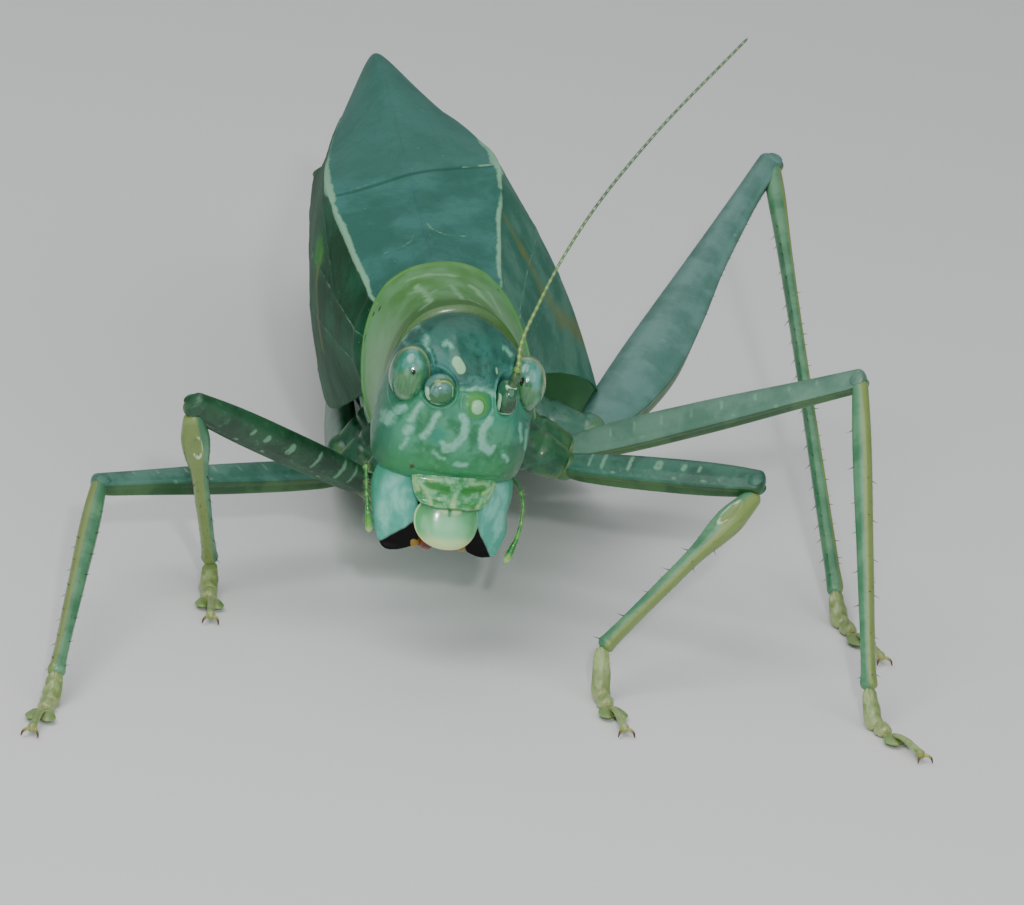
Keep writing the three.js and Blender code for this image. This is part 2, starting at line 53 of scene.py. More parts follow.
headPlace = np.array([-0.2, -2.5, 10.34])
headTurn = turn("z", 10) @ turn("x", 2.3) @ turn("y", 3.25)
bodyPlace = np.array([-0.5, 0, 13.8])
bodyTurn = turn("x", -3) @ turn("y", -11)
eye = {"half": (0.82, 0.92, 1.18), "place": (2.35, -1.0, 1.42), "rows": 56, "columns": 72}


def fromHead(places):
    return headPlace + np.asarray(places, float) @ headTurn.T


def fromBody(places):
    return bodyPlace + np.asarray(places, float) @ bodyTurn.T


def boxMiddle(node):
    low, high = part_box(node)
    return np.array((low + high) / 2) * 1000


shift = boxMiddle("eye_l") - fromHead(eye["place"])  # what the solids were moved by at the end


def unit(vectors):
    return vectors / np.maximum(np.linalg.norm(vectors, axis=-1, keepdims=True), 1e-12)


def step(low, high, x):  # 0 below low, 1 above high, and smooth between
    t = np.clip((np.asarray(x, float) - low) / (high - low), 0, 1)
    return t * t * (3 - 2 * t)


def hill(x, middle, width):  # a bell of height 1
    return np.exp(-((np.asarray(x, float) - middle) / width) ** 2)


# A smooth curve through [place, value] stops: cubic between stops, with slopes from their neighbours.
def through(stops, x):
    places, values = np.array(stops, float).T
    slopes = np.gradient(values, places)
    x = np.clip(x, places[0], places[-1])
    i = np.clip(np.searchsorted(places, x, side="right") - 1, 0, len(places) - 2)
    gapWide = places[i + 1] - places[i]
    t = (x - places[i]) / gapWide
    a = (1 + 2 * t) * (1 - t) ** 2 * values[i] + t * (1 - t) ** 2 * gapWide * slopes[i]
    return a + t * t * (3 - 2 * t) * values[i + 1] + t * t * (t - 1) * gapWide * slopes[i + 1]


# Points at even distances along a smooth curve through a few places.
def path(places, count):
    places = np.array(places, float)
    reach = np.append(0, np.cumsum(np.linalg.norm(np.diff(places, axis=0), axis=1)))
    fine = np.linspace(0, reach[-1], 400)
    points = np.stack([through(np.stack([reach, column], 1), fine) for column in places.T], 1)
    gone = np.append(0, np.cumsum(np.linalg.norm(np.diff(points, axis=0), axis=1)))
    even = np.interp(np.linspace(0, gone[-1], count), gone, fine)
    return np.stack([through(np.stack([reach, column], 1), even) for column in places.T], 1)


# Signed distance, in millimetres, from points (x, z) to a list of [half width, (x, z), (x, z), ...] strokes.
def toStrokes(x, z, strokes):
    best = np.full(np.shape(x), 9.0)
    for half, *line in strokes:
        ends = line[1:] or line
        for (ax, az), (bx, bz) in zip(line, ends):
            dx, dz = bx - ax, bz - az
            t = np.clip(((x - ax) * dx + (z - az) * dz) / max(dx * dx + dz * dz, 1e-9), 0, 1)
            best = np.minimum(best, np.hypot(x - ax - t * dx, z - az - t * dz) - half)
    return best


# Gentle irregular waves about zero over two coordinates, for edges and surfaces that wander.
def ripple(a, b, size, seed):
    random = np.random.default_rng(seed)
    total = 0
    for _ in range(6):
        way, start = random.uniform(0, 2 * np.pi, 2)
        pitch = size * random.uniform(0.5, 1.6)
        total = total + np.sin((a * np.cos(way) + b * np.sin(way)) * 2 * np.pi / pitch + start)
    return total / 6


# Collects grids of points and makes one mesh of them.
class Surface:
    # Fields on the points: place (a vector in the piece's own millimetres), pale and dark (distance to the
    # nearest light or dark mark) and tone (0 to 1, for whatever the finish uses it for).
    blank = {"place": (0, 0, 0), "pale": 9, "dark": 9, "tone": 0}

    def __init__(self):
        self.points, self.quads, self.fans, self.finishes = [], [], [], []
        self.fields = {name: [] for name in self.blank}
        self.total = 0

    # Adds one grid, rows x columns x 3, or many alike. A grid is closed round its columns. Its two ends
    # close in a fan about their middle, or, for a plate, in strips between its two sheets.
    def add(self, grid, ends="fan", finish=0, **fields):
        grid = grid[None] if grid.ndim == 3 else grid
        many, rows, columns = grid.shape[:3]
        numbers = np.arange(many * rows * columns).reshape(many, rows, columns)
        beside = np.roll(numbers, -1, axis=2)
        quads = np.stack([numbers[:, :-1], beside[:, :-1], beside[:, 1:], numbers[:, 1:]], -1).reshape(-1, 4)
        values = {}
        for name, blank in self.blank.items():
            shape = grid.shape if name == "place" else grid.shape[:3]
            values[name] = np.broadcast_to(np.asarray(fields.get(name, blank), float), shape)
        flat = {name: value.reshape((many * rows * columns, -1)) for name, value in values.items()}
        points = grid.reshape(-1, 3)
        fans = np.zeros((0, 3), int)
        if ends == "fan":
            first = len(points) + np.arange(many)[:, None] + np.zeros((many, columns), int)
            heads = np.stack([numbers[:, 0], first, beside[:, 0]], -1)
            tails = np.stack([first + many, numbers[:, -1], beside[:, -1]], -1)
            fans = np.concatenate([heads.reshape(-1, 3), tails.reshape(-1, 3)])
            points = np.concatenate([points, grid[:, 0].mean(1), grid[:, -1].mean(1)])
            for name, value in values.items():
                caps = [value[:, row].mean(1).reshape(many, -1) for row in (0, -1)]
                flat[name] = np.concatenate([flat[name], *caps])
        else:
            half = columns // 2
            j = np.arange(half - 1)
            for row, order in ((0, 1), (-1, -1)):
                edge = numbers[:, row]
                strip = np.stack(
                    [edge[:, j + 1], edge[:, j], edge[:, columns - 1 - j], edge[:, columns - 2 - j]], -1
                )
                quads = np.concatenate([quads, strip.reshape(-1, 4)[:, ::order]])
        corners = np.concatenate([quads[:, [0, 1, 2]], quads[:, [0, 2, 3]], fans])
        a, b, c = (points[corners[:, k]] for k in range(3))
        if np.einsum("ij,ij->", a, np.cross(b, c)) < 0:
            quads, fans = quads[:, ::-1], fans[:, ::-1]
        self.points.append(points)
        self.quads.append(quads + self.total)
        self.fans.append(fans + self.total)
        self.finishes.append((np.full(len(quads), finish), np.full(len(fans), finish)))
        for name in self.blank:
            self.fields[name].append(flat[name])
        self.total += len(points)

    # Makes the piece: it rides on the body, takes its finishes, and stands for the nodes.
    def build(self, name, finishes, nodes=()):
        points = (np.concatenate(self.points) + shift) / 1000
        mesh = bpy.data.meshes.new(name)
        faces = np.concatenate(self.quads).tolist() + np.concatenate(self.fans).tolist()
        mesh.from_pydata(points.tolist(), [], faces)
        marks = np.concatenate([q for q, f in self.finishes] + [f for q, f in self.finishes])
        mesh.polygons.foreach_set("material_index", marks.astype(np.int32))
        mesh.polygons.foreach_set("use_smooth", np.ones(len(faces), bool))
        for field in self.blank:
            kind, key = ("FLOAT_VECTOR", "vector") if field == "place" else ("FLOAT", "value")
            values = np.concatenate(self.fields[field]).astype(np.float32)
            mesh.attributes.new(field, kind, "POINT").data.foreach_set(key, values.ravel())
        for finish in finishes:
            mesh.materials.append(finish.material)
        mesh.update()
        piece = bpy.data.objects.new(name, mesh)
        bpy.context.scene.collection.objects.link(piece)
        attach(piece, "root")
        if nodes:
            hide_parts(*nodes)
        print(f"{name}: {sum(len(p) for p in self.quads) * 2 + sum(len(p) for p in self.fans)} triangles")
        return piece


# Two sheets as one closed plate: the outer sheet, and it moved along its normals by the thickness.
def plate(outer, thickness):
    inner = outer - gridNormals(outer) * np.asarray(thickness)[..., None]
    return np.concatenate([outer, inner[:, ::-1]], axis=1)


def twice(field):  # the same field on both sheets of a plate
    return np.concatenate([field, field[:, ::-1]], axis=1)


def gridNormals(grid, closed=False):
    down = np.gradient(grid, axis=0)
    if closed:
        across = (np.roll(grid, -1, axis=1) - np.roll(grid, 1, axis=1)) / 2
    else:
        across = np.gradient(grid, axis=1)
    return unit(np.cross(across, down))


# A ball stretched to three half sizes about a place, with its poles up and down.
def ball(place, half, rows=24, columns=32):
    lift = np.linspace(-np.pi / 2, np.pi / 2, rows + 2)[1:-1, None]
    around = np.linspace(0, 2 * np.pi, columns, endpoint=False)[None]
    x, y, z = np.cos(lift) * np.cos(around), np.cos(lift) * np.sin(around), np.sin(lift) + 0 * around
    return np.array(place) + np.stack([x, y, z], -1) * np.array(half)


# A tube along points, with half sizes along and across a hint direction. section() may shape its ring.
def tube(points, halfUp, halfSide, columns=16, hint=(0, 0, 1), section=None):
    way = unit(np.gradient(points, axis=0))
    side = unit(np.cross(way, np.array(hint, float)))
    up = np.cross(side, way)
    angle = np.linspace(0, 2 * np.pi, columns, endpoint=False)[None]
    grow = 1 if section is None else section(angle)
    rise = (np.reshape(halfUp, (-1, 1)) * np.sin(angle) * grow)[..., None] * up[:, None]
    out = (np.reshape(halfSide, (-1, 1)) * np.cos(angle) * grow)[..., None] * side[:, None]
    return points[:, None] + rise + out


# Shares 0 to 1 that crowd at both ends, and how full a form is there, so that it ends round.
def roundedShares(rows, cap, length):
    bend = np.linspace(0, np.pi / 2, 7)[:-1]
    start = (1 - np.cos(bend)) * cap / length
    middle = np.linspace(cap / length, 1 - cap / length, rows)
    shares = np.concatenate([start, middle, 1 - start[::-1]])
    full = np.concatenate([np.sin(bend), np.ones(rows), np.sin(bend)[::-1]])
    return shares, np.maximum(full, 0.02)


# Thin cones from roots towards tips, bent by a little sideways push at their middles.
def spikes(roots, tips, radius, bend, rows=5, columns=5):
    t = np.linspace(0, 1, rows)[None, :, None]
    roots, tips = roots[:, None], tips[:, None]
    middle = roots * (1 - t) + tips * t + np.asarray(bend)[:, None] * (4 * t * (1 - t))
    way = unit(tips - roots)
    side = unit(np.cross(way, np.array([0.31, 0.52, 0.79])))
    up = np.cross(side, way)
    angle = np.linspace(0, 2 * np.pi, columns, endpoint=False)
    ring = side[:, :, None] * np.cos(angle)[:, None] + up[:, :, None] * np.sin(angle)[:, None]
    size = np.reshape(radius, (-1, 1, 1)) * (1 - 0.92 * t)
    return middle[:, :, None] + ring * size[..., None]


class Wire:  # one socket, with arithmetic
    def __init__(self, finish, socket):
        self.finish, self.socket = finish, socket

    def work(self, operation, a, b):
        return self.finish.make("Math", {"operation": operation}, {0: a, 1: b})

    def __add__(self, other):
        return self.work("ADD", self, other)

    def __sub__(self, other):
        return self.work("SUBTRACT", self, other)

    def __rsub__(self, other):
        return self.work("SUBTRACT", other, self)

    def __mul__(self, other):
        return self.work("MULTIPLY", self, other)

    def __pow__(self, other):
        return self.work("POWER", self, other)

    __radd__ = __add__
    __rmul__ = __mul__


# Screen red, green and blue, 0 to 255, to a linear colour, a little richer than asked for, because the
# display takes some of the colour away again.
def colour(red, green, blue):
    screen = np.array([red, green, blue]) / 255
    linear = np.where(screen < 0.04045, screen / 12.92, ((screen + 0.055) / 1.055) ** 2.4)
    grey = linear.mean()
    return (*np.clip(grey + (linear - grey) * 1.38, 0, 1).tolist(), 1.0)


class Finish:
    # gloss: roughness; coat: clear layer; glow: share of light that passes through the skin
    def __init__(self, name, gloss=0.4, coat=0.0, glow=0.0, bumpDepth=0.00002):
        self.material = bpy.data.materials.new(name)
        self.material.use_nodes = True
        self.tree = self.material.node_tree
        self.shader = self.tree.nodes["Principled BSDF"]
        self.shader.inputs["Roughness"].default_value = gloss
        self.shader.inputs["Coat Weight"].default_value = coat
        self.shader.inputs["Coat Roughness"].default_value = 0.12
        self.shader.inputs["Subsurface Weight"].default_value = glow
        self.shader.inputs["Subsurface Radius"].default_value = (0.5, 1.0, 0.4)
        self.shader.inputs["Subsurface Scale"].default_value = 0.0006
        self.bumpDepth = bumpDepth

    # Any node: its type, its settings, and values or wires for its inputs.
    def make(self, kind, settings=None, inputs=None, output=0):
        node = self.tree.nodes.new("ShaderNode" + kind)
        for key, value in (settings or {}).items():
            setattr(node, key, value)
        for key, value in (inputs or {}).items():
            if isinstance(value, Wire):
                self.tree.links.new(value.socket, node.inputs[key])
            else:
                node.inputs[key].default_value = value
        return Wire(self, node.outputs[output])

    def field(self, name):
        output = "Vector" if name == "place" else "Fac"
        return self.make("Attribute", {"attribute_name": name}, output=output)

    def axes(self, vector):
        return [self.make("SeparateXYZ", inputs={0: vector}, output=k) for k in range(3)]

    def mix(self, a, b, share):  # colour a, turning into b
        a, b = (colour(*one) if isinstance(one, tuple) else one for one in (a, b))
        return self.make("Mix", {"data_type": "RGBA"}, {0: share, 6: a, 7: b}, output=2)

    def step(self, value, low, high, to=1.0):
        settings = {"interpolation_type": "SMOOTHSTEP"}
        return self.make("MapRange", settings, {0: value, 1: low, 2: high, 3: 0.0, 4: to})

    # Where a field passes from off to on, with an edge that a pattern makes uneven.
    def mark(self, name, pattern, uneven, off, on):
        return self.step(self.field(name) + (pattern - 0.5) * uneven, off, on)

    # Colour a with soft patches of b, which a finer pattern frays.
    def patches(self, a, b, cloud, fine, fray, low, high):
        return self.mix(a, b, self.step(cloud + (fine - 0.5) * fray, low, high))

    def noise(self, vector, scale, detail=2.0, rough=0.5):
        return self.make(
            "TexNoise", inputs={"Vector": vector, "Scale": scale, "Detail": detail, "Roughness": rough}
        )

    def cells(self, vector, scale, feature="DISTANCE_TO_EDGE"):
        return self.make("TexVoronoi", {"feature": feature}, {"Vector": vector, "Scale": scale}, "Distance")

    def stretch(self, vector, factors):
        return self.make("VectorMath", {"operation": "MULTIPLY"}, {0: vector, 1: factors})

    def paint(self, base, bump=None, gloss=None):
        self.tree.links.new(base.socket, self.shader.inputs["Base Color"])
        if bump is not None:
            settings = {"Strength": 1.0, "Distance": self.bumpDepth, "Height": bump}
            node = self.make("Bump", inputs=settings)
            self.tree.links.new(node.socket, self.shader.inputs["Normal"])
        if gloss is not None:
            self.tree.links.new(gloss.socket, self.shader.inputs["Roughness"])
        return self


# The head, in rings from the chin to the crown.
head = {
    "rows": 230, "columns": 320, "squareness": 0.82,
    # height, half width, reach to the front and to the back, and middle of the ring
    "stations": [
        [-2.80, 0.02, 0.02, 0.02, 0.1], [-2.79, 1.60, 0.80, 0.8, 0.1], [-2.70, 2.46, 1.40, 1.2, 0],
        [-2.45, 2.82, 1.86, 1.6, 0], [-2.10, 2.95, 2.14, 1.9, 0], [-1.65, 3.03, 2.36, 2.15, 0],
        [-1.00, 3.09, 2.52, 2.35, 0], [-0.30, 3.04, 2.59, 2.45, 0], [0.30, 2.95, 2.54, 2.5, 0],
        [0.90, 2.83, 2.40, 2.52, 0], [1.40, 2.69, 2.14, 2.55, 0], [2.00, 2.44, 1.70, 2.55, 0],
        [2.45, 2.16, 1.40, 2.30, 0.05], [2.90, 1.72, 1.00, 1.80, 0.2], [3.20, 1.28, 0.72, 1.28, 0.35],
        [3.40, 0.86, 0.50, 0.80, 0.5], [3.52, 0.40, 0.25, 0.38, 0.55], [3.55, 0.02, 0.02, 0.02, 0.55],
    ],
    # the feelers' sockets: middle, half width and half height
    "sockets": [(-1.44, 1.30, 0.64, 0.64), (1.33, 1.22, 0.46, 0.74)],
    "ocellus": (0.1, 0.80, 0.27),  # the middle eye, and its radius
    "dome": (0.1, 0.92, 0.62),  # the bulge that carries it
    # light marks on the face: half width and places sideways and up
    "pale": [
        [0.15, (-0.48, 0.40), (-0.28, 0.24), (-0.22, -0.10), (-0.28, -0.42)],
        [0.15, (-0.27, 0.08), (-0.28, -0.38)],
        [0.15, (-0.32, -0.44), (-0.54, -0.80), (-0.76, -0.96)], [0.18, (-0.62, -0.88), (-0.84, -0.96)],
        [0.10, (-0.84, -0.98), (-1.04, -0.74)],
        [0.16, (0.72, 0.34), (0.56, 0.14), (0.48, -0.12)],
        [0.16, (0.48, -0.12), (0.48, -0.36), (0.60, -0.66)],
        [0.18, (0.64, -0.76), (0.94, -0.92)], [0.10, (0.98, -0.95), (1.10, -0.72)],
        [0.10, (-1.36, 0.38), (-1.52, -0.02), (-1.66, -0.40)], [0.13, (-1.66, -0.42), (-1.78, -0.62)],
        [0.07, (-1.98, 0.62), (-2.20, 0.20), (-2.31, -0.16)], [0.12, (-2.27, -0.42), (-2.36, -0.64)],
        [0.05, (-2.26, -0.86), (-2.42, -1.36)], [0.09, (-2.52, 0.28), (-2.72, 0.0)],
        [0.09, (-2.82, -0.18), (-2.96, -0.62)],
        [0.07, (2.10, 0.10), (2.36, -0.55)], [0.06, (2.52, -0.2), (2.66, -1.0)],
        [0.07, (1.60, -1.10), (1.90, -1.34)], [0.11, (-0.26, -1.60), (0.0, -1.64), (0.12, -1.60)],
        [0.05, (-1.72, 2.80), (-1.84, 2.62), (-1.80, 2.46)],
        [0.06, (-1.16, 2.72), (-1.00, 2.80), (-0.90, 2.74)], [0.05, (1.32, 2.76), (1.60, 2.60)],
        [0.06, (-2.24, 2.19), (-2.02, 2.30)], [0.05, (1.95, 2.32), (2.10, 2.10)],
        [0.05, (-1.30, -1.2), (-0.80, -1.46)],
        # the two lines along the crown's ledge between the feelers are painted highlights
        [0.05, (0.30, 1.42), (0.72, 1.36), (1.0, 1.1)], [0.05, (-0.5, 1.4), (0.3, 1.44)],
    ],
    # wide soft patches of the same kind
    "clouds": [
        [0.22, (-1.02, 1.95), (-1.0, 2.5)], [0.12, (-1.45, 2.85), (-1.1, 2.95)],
        [0.2, (-1.2, 0.7), (-0.4, 0.55)],
        [0.2, (0.5, 0.62), (1.5, 0.45)], [0.16, (-2.5, -0.6), (-2.1, -1.6)], [0.12, (1.2, 2.9), (1.7, 2.7)],
        [0.16, (2.0, 0.5), (2.1, -0.5)],
    ],
    # bright spots: the middle eye, and the two ovals on the crown
    "bright": [
        [0.25, (0.10, 0.79), (0.10, 0.81)], [0.19, (-0.73, 2.22), (-0.60, 2.04)],
        [0.05, (0.90, 2.14), (0.92, 2.02)],
    ],
}


# Rings of a rounded square, stacked by height, whose width, front and back follow the stations. The rings
# crowd where the outline bends, and the columns crowd on the face.
def headShell():
    line = path(head["stations"], head["rows"])
    t = np.linspace(-1, 1, head["columns"], endpoint=False)
    angle = np.pi * t - 0.55 * np.sin(np.pi * t) - np.pi / 2
    wide = np.sign(np.cos(angle)) * np.abs(np.cos(angle)) ** head["squareness"]
    deep = np.sign(np.sin(angle)) * np.abs(np.sin(angle)) ** head["squareness"]
    height, half, front, back, middle = (line[:, k][:, None] for k in range(5))
    y = middle + np.where(deep < 0, front, back) * deep
    return np.stack([half * wide, y, height + 0 * wide], -1)


# What the skin of the head rises by, in millimetres, from simple forms about named places.
def headRelief(shell):
    x, y, z = np.moveaxis(shell, -1, 0)
    face = step(0.2, -0.6, y)
    rise = np.zeros(x.shape)
    a, b, c = eye["half"]
    for side in (-1, 1):
        eyeX, eyeY, eyeZ = np.array(eye["place"]) * (side, 1, 1)
        rho = np.sqrt(((x - eyeX) / a) ** 2 + ((y - eyeY) / b) ** 2 + ((z - eyeZ) / c) ** 2)
        rise += 0.07 * hill(rho, 1.15, 0.08) - 0.16 * step(1.02, 0.86, rho)
    for middleX, middleZ, halfX, halfZ in head["sockets"]:
        rho = np.hypot((x - middleX) / halfX, (z - middleZ) / halfZ)
        rise += face * (0.09 * hill(rho, 1.12, 0.09) - 0.28 * step(1.0, 0.7, rho))
    domeX, domeZ, domeHalf = head["dome"]
    r = np.hypot(x - domeX, z - domeZ) / domeHalf
    rise += face * (0.16 * np.clip(1 - r * r, 0, 1) - 0.04 * hill(r, 1.05, 0.12))
    ocellusX, ocellusZ, ocellusHalf = head["ocellus"]
    r = np.hypot(x - ocellusX, z - ocellusZ) / ocellusHalf
    rise += face * (0.07 * np.sqrt(np.clip(1 - r * r, 0, 1)) - 0.03 * hill(r, 1.12, 0.14))
    # the crown stands a little over the face between the feelers, with a low keel down its front
    between = step(1.05, 0.6, np.abs(x))
    rise += (
        face * between
        * (0.10 * step(1.40, 1.56, z + 0.05 * ripple(x, z, 0.5, 1)) - 0.05 * hill(z, 1.36, 0.07))
    )
    rise += face * 0.05 * hill(z, 1.24, 0.09) * hill(x, -0.42, 0.22)
    # ridges under the feelers, the cheek's edge, and the folds over the upper lip
    rise += (
        0.035 * face * hill(np.abs(x) - 1.62 - 0.10 * (z + 2), 0, 0.16) * step(-1.9, -1.2, z)
        * step(0.7, 0.2, z)
    )
    rise -= (
        0.03 * face * hill(np.abs(x) - 1.40 - 0.10 * (z + 2), 0, 0.10) * step(-1.9, -1.2, z)
        * step(0.6, 0.1, z)
    )
    rise -= 0.045 * hill(z, -2.18 + 0.02 * x * x, 0.06) * face * step(2.1, 1.7, np.abs(x))
    rise += 0.03 * hill(z, -1.92 + 0.03 * x * x, 0.14) * face * step(2.1, 1.6, np.abs(x))
    rise += 0.035 * hill(np.abs(x), 2.72, 0.12) * step(0.2, -0.8, z) * face
    rise += 0.07 * hill(np.hypot(np.abs(x) - 1.88, z + 2.08), 0, 0.13) * face
    # soft swellings and fine unevenness of the skin
    rise += 0.03 * ripple(x, z, 1.7, 2) * face + 0.010 * ripple(x + 0.3 * y, z, 0.45, 3)
    return rise


def headFinish():
    skin = Finish("headSkin", gloss=0.38, coat=0.06, glow=0.12)
    skin.shader.inputs["Specular IOR Level"].default_value = 0.38
    place = skin.field("place")
    x, y, z = skin.axes(place)
    large, small, tiny = skin.noise(place, 1.1, 3), skin.noise(place, 4.2, 4, 0.6), skin.noise(place, 15, 2)
    wide = skin.noise(place, 0.55, 1)
    face = skin.patches((56, 104, 76), (84, 134, 110), large, small, 0.2, 0.38, 0.62)
    face = skin.mix(face, (60, 118, 102), skin.step(wide + small * 0.3, 0.60, 0.78))
    face = skin.mix(face, (70, 124, 100), skin.step(z + small * 0.6, 0.35, 0.75) * 0.5)
    low = skin.step(z + small * 0.5, -0.4, -1.6)
    face = skin.mix(face, (58, 116, 72), low * 0.7)
    face = skin.mix(face, (92, 144, 116), skin.step(small, 0.54, 0.70) * 0.4)
    face = skin.mix(
        face, (48, 98, 70), skin.step(large + tiny * 0.3, 0.62, 0.50) * skin.step(small, 0.5, 0.4) * 0.5
    )
    crown = skin.mix((46, 82, 72), (68, 110, 102), skin.step(large + small * 0.25, 0.46, 0.78))
    crown = skin.mix(crown, (28, 62, 52), skin.step(small, 0.46, 0.36) * 0.5)
    upper = skin.step(z + small * 0.24, 1.42, 1.66)
    base = skin.mix(face, crown, upper)
    base = skin.mix(base, (34, 72, 58), skin.step(z + (large - 0.5) * 1.2, 2.1, 3.5) * 0.55)
    # painted shade: the face darkens towards both sides
    base = skin.mix(base, (52, 92, 78), skin.step(x * x, 5.6, 8.6) * 0.6)
    patches = skin.step(skin.field("tone") + (small - 0.5) * 1.4 + (large - 0.5) * 0.8, 0.25, -0.35)
    # painted shade: the left cheek (x positive) darker again
    base = skin.mix(base, (40, 78, 62), skin.step(x, 1.3, 2.3) * 0.45)
    base = skin.mix(base, (84, 134, 118), patches * 0.3)
    domeX, domeZ = x - head["dome"][0], z - head["dome"][1]
    dome = (
        skin.step(domeX * domeX + domeZ * domeZ + (small - 0.5) * 0.3, 0.36, 0.08) * skin.step(y, 0.0, -0.5)
    )
    base = skin.mix(base, (74, 126, 58), dome * 0.75)
    edge = skin.field("pale") + (small - 0.5) * 0.26 + (tiny - 0.5) * 0.10
    pale = skin.step(edge, 0.09, -0.09) * (skin.step(small, 0.30, 0.52) * 0.35 + 0.62)
    base = skin.mix(base, (130, 174, 156), pale)
    bright = skin.mark("dark", small, 0.05, 0.03, -0.03)
    base = skin.mix(base, (142, 182, 148), bright)
    freckles = skin.step(skin.cells(place, 9, "F1"), 0.16, 0.08)
    base = skin.mix(base, (112, 164, 140), freckles * 0.16)
    knobX, knobZ = x + 1.86, z + 1.98
    knob = (
        skin.step(knobX * knobX + knobZ * knobZ + (tiny - 0.5) * 0.01, 0.012, 0.002)
        * skin.step(y, 0.0, -0.5)
    )
    base = skin.mix(base, (66, 60, 34), knob)
    gloss = skin.step(small, 0.3, 0.7, 0.16) + 0.28
    return skin.paint(base, bump=large * 0.6 + small * 0.6 + tiny * 0.2, gloss=gloss)


def buildHead():
    shell = headShell()
    normals = gridNormals(shell, closed=True)
    outward = np.sign((normals * (shell - np.array([0, 0, 0.3]))).sum())
    skin = shell + outward * normals * headRelief(shell)[..., None]
    x, y, z = np.moveaxis(shell, -1, 0)
    behind = 9 * step(-0.3, 0.6, y)
    # the marks wander a little from their drawn lines
    moved = x + 0.05 * ripple(x, z, 0.55, 4), z + 0.05 * ripple(x, z, 0.55, 5)
    marks = toStrokes(*moved, head["pale"]) + behind * (z < 2.0)
    clouds = toStrokes(*moved, head["clouds"]) + behind
    bright = toStrokes(x, z, head["bright"]) + behind
    surface = Surface()
    surface.add(fromHead(skin), place=shell, pale=marks, dark=bright, tone=clouds)
    surface.build("head_skin", [headFinish()], ["head"])


# Each eye is an egg with its narrow end down. It is painted by where a place lies as seen from the front:
# the first coordinate of "place" runs away from the nose, the second is the share of the way to the
# outline, and the third runs up.
def eyeFinish(letter):
    skin = Finish(f"eyeGlass_{letter}", gloss=0.16, coat=0.7, glow=0.15, bumpDepth=0.000003)
    skin.shader.inputs["Coat Roughness"].default_value = 0.03
    place = skin.field("place")
    a, rho, c = skin.axes(place)
    streaks = skin.noise(skin.stretch(place, (6, 1.2, 1.0)), 1.5, 3)
    mottle = skin.noise(place, 2.6, 3)
    disc = skin.field("pale")  # distance to the clear inner disc, negative inside
    around = skin.mix((60, 102, 80), (84, 130, 106), skin.step(mottle, 0.4, 0.7))
    upper = skin.mix((62, 112, 98), (90, 138, 126), skin.step(mottle + c * 0.15, 0.42, 0.66))
    lower = skin.mix((58, 100, 68), (80, 122, 86), skin.step(streaks, 0.30, 0.75))
    inner = skin.mix(lower, upper, skin.step(c + (mottle - 0.5) * 0.5 + a * 0.25, -0.15, 0.35))
    base = skin.mix(around, inner, skin.step(disc, 0.07, -0.07))
    base = skin.mix(base, (128, 160, 132), skin.step(c + (mottle - 0.5) * 0.2, -0.72, -0.90) * 0.8)
    if letter == "l":
        streak = skin.step(a + mottle * 0.2, 0.36, 0.52) * skin.step(a + mottle * 0.2, 0.84, 0.64)
        base = skin.mix(base, (118, 162, 154), streak * skin.step(c, -0.35, 0.1) * 0.7)
        base = skin.mix(base, (122, 158, 132), skin.step(a, -0.5, -0.8) * 0.6)
    base = skin.mix(base, (44, 84, 62), skin.step(rho + (mottle - 0.5) * 0.08, 0.82, 0.98) * 0.75)
    base = skin.mix(base, (150, 160, 118), skin.field("tone") * 0.75)
    base = skin.mix(base, (6, 10, 9), skin.step(skin.field("dark"), 0.03, -0.03))
    return skin.paint(base, bump=skin.cells(place, 22, "F1"))


def buildEyes():
    front = headTurn.T @ np.array(studio["back"])
    for letter, side, pupilPlace in (("r", -1, -0.12), ("l", 1, -0.18)):
        middle = np.array(eye["place"]) * (side, 1, 1)
        own = ball((0, 0, 0), (1, 1, 1), eye["rows"], eye["columns"])
        narrow = 1 - 0.16 * step(0.1, 1.0, -own[..., 2:])  # the egg's narrow end
        shape = own * np.array(eye["half"]) * np.concatenate([narrow, narrow, np.ones_like(narrow)], -1)
        sideways = unit(np.cross(np.array([0, 0, 1.0]), front)) * side
        a, c = own @ sideways, own @ unit(np.cross(front, sideways) * side)
        toFront = own @ front
        rho = np.where(toFront > 0, np.hypot(a, c), 2 - np.hypot(a, c))
        disc = np.where(toFront > 0, np.hypot((a - 0.05) / 0.62, (c + 0.05) / 0.86) - 1, 1) * 0.6
        tall = 1.0 if letter == "r" else 1.6
        pupil = np.where(toFront > 0, np.hypot(a - pupilPlace, (c - 0.04) / tall) - 0.10, 9)
        # a thin pale crescent along the upper edge, on the nose's side for the right eye
        turned = np.degrees(np.arctan2(c, -a if letter == "r" else a))
        crescent = hill(rho, 0.90, 0.045) * step(-30, 10, turned) * step(150, 110, turned)
        surface = Surface()
        place = np.stack([a, rho, c], -1)
        surface.add(fromHead(middle + shape), place=place, dark=pupil, tone=crescent, pale=disc)
        surface.build(f"eye_{letter}_glass", [eyeFinish(letter)], [f"eye_{letter}"])


# The feelers: the right one is only its first joint.
feeler = {
    "bulb": (-1.42, -2.14, 1.30), "bulbHalf": (0.62, 0.60, 0.62),
    "stub": (1.33, -2.12, 1.22), "stubHalf": (0.42, 0.62, 0.70),
    "knob": (1.42, -2.52, 2.50), "knobHalf": 0.155,
    "whip": [
        [1.85, -4.4, 13.3], [2.53, -3.5, 15.14], [4.2, -2.5, 18.48], [6.29, -1.7, 21.49], [9.79, -0.6, 25.65]
    ],
    "rows": 1100, "ringLength": 0.30,
    "radius": [[0, 0.105], [0.05, 0.085], [0.12, 0.072], [0.5, 0.066], [1, 0.058]],
}


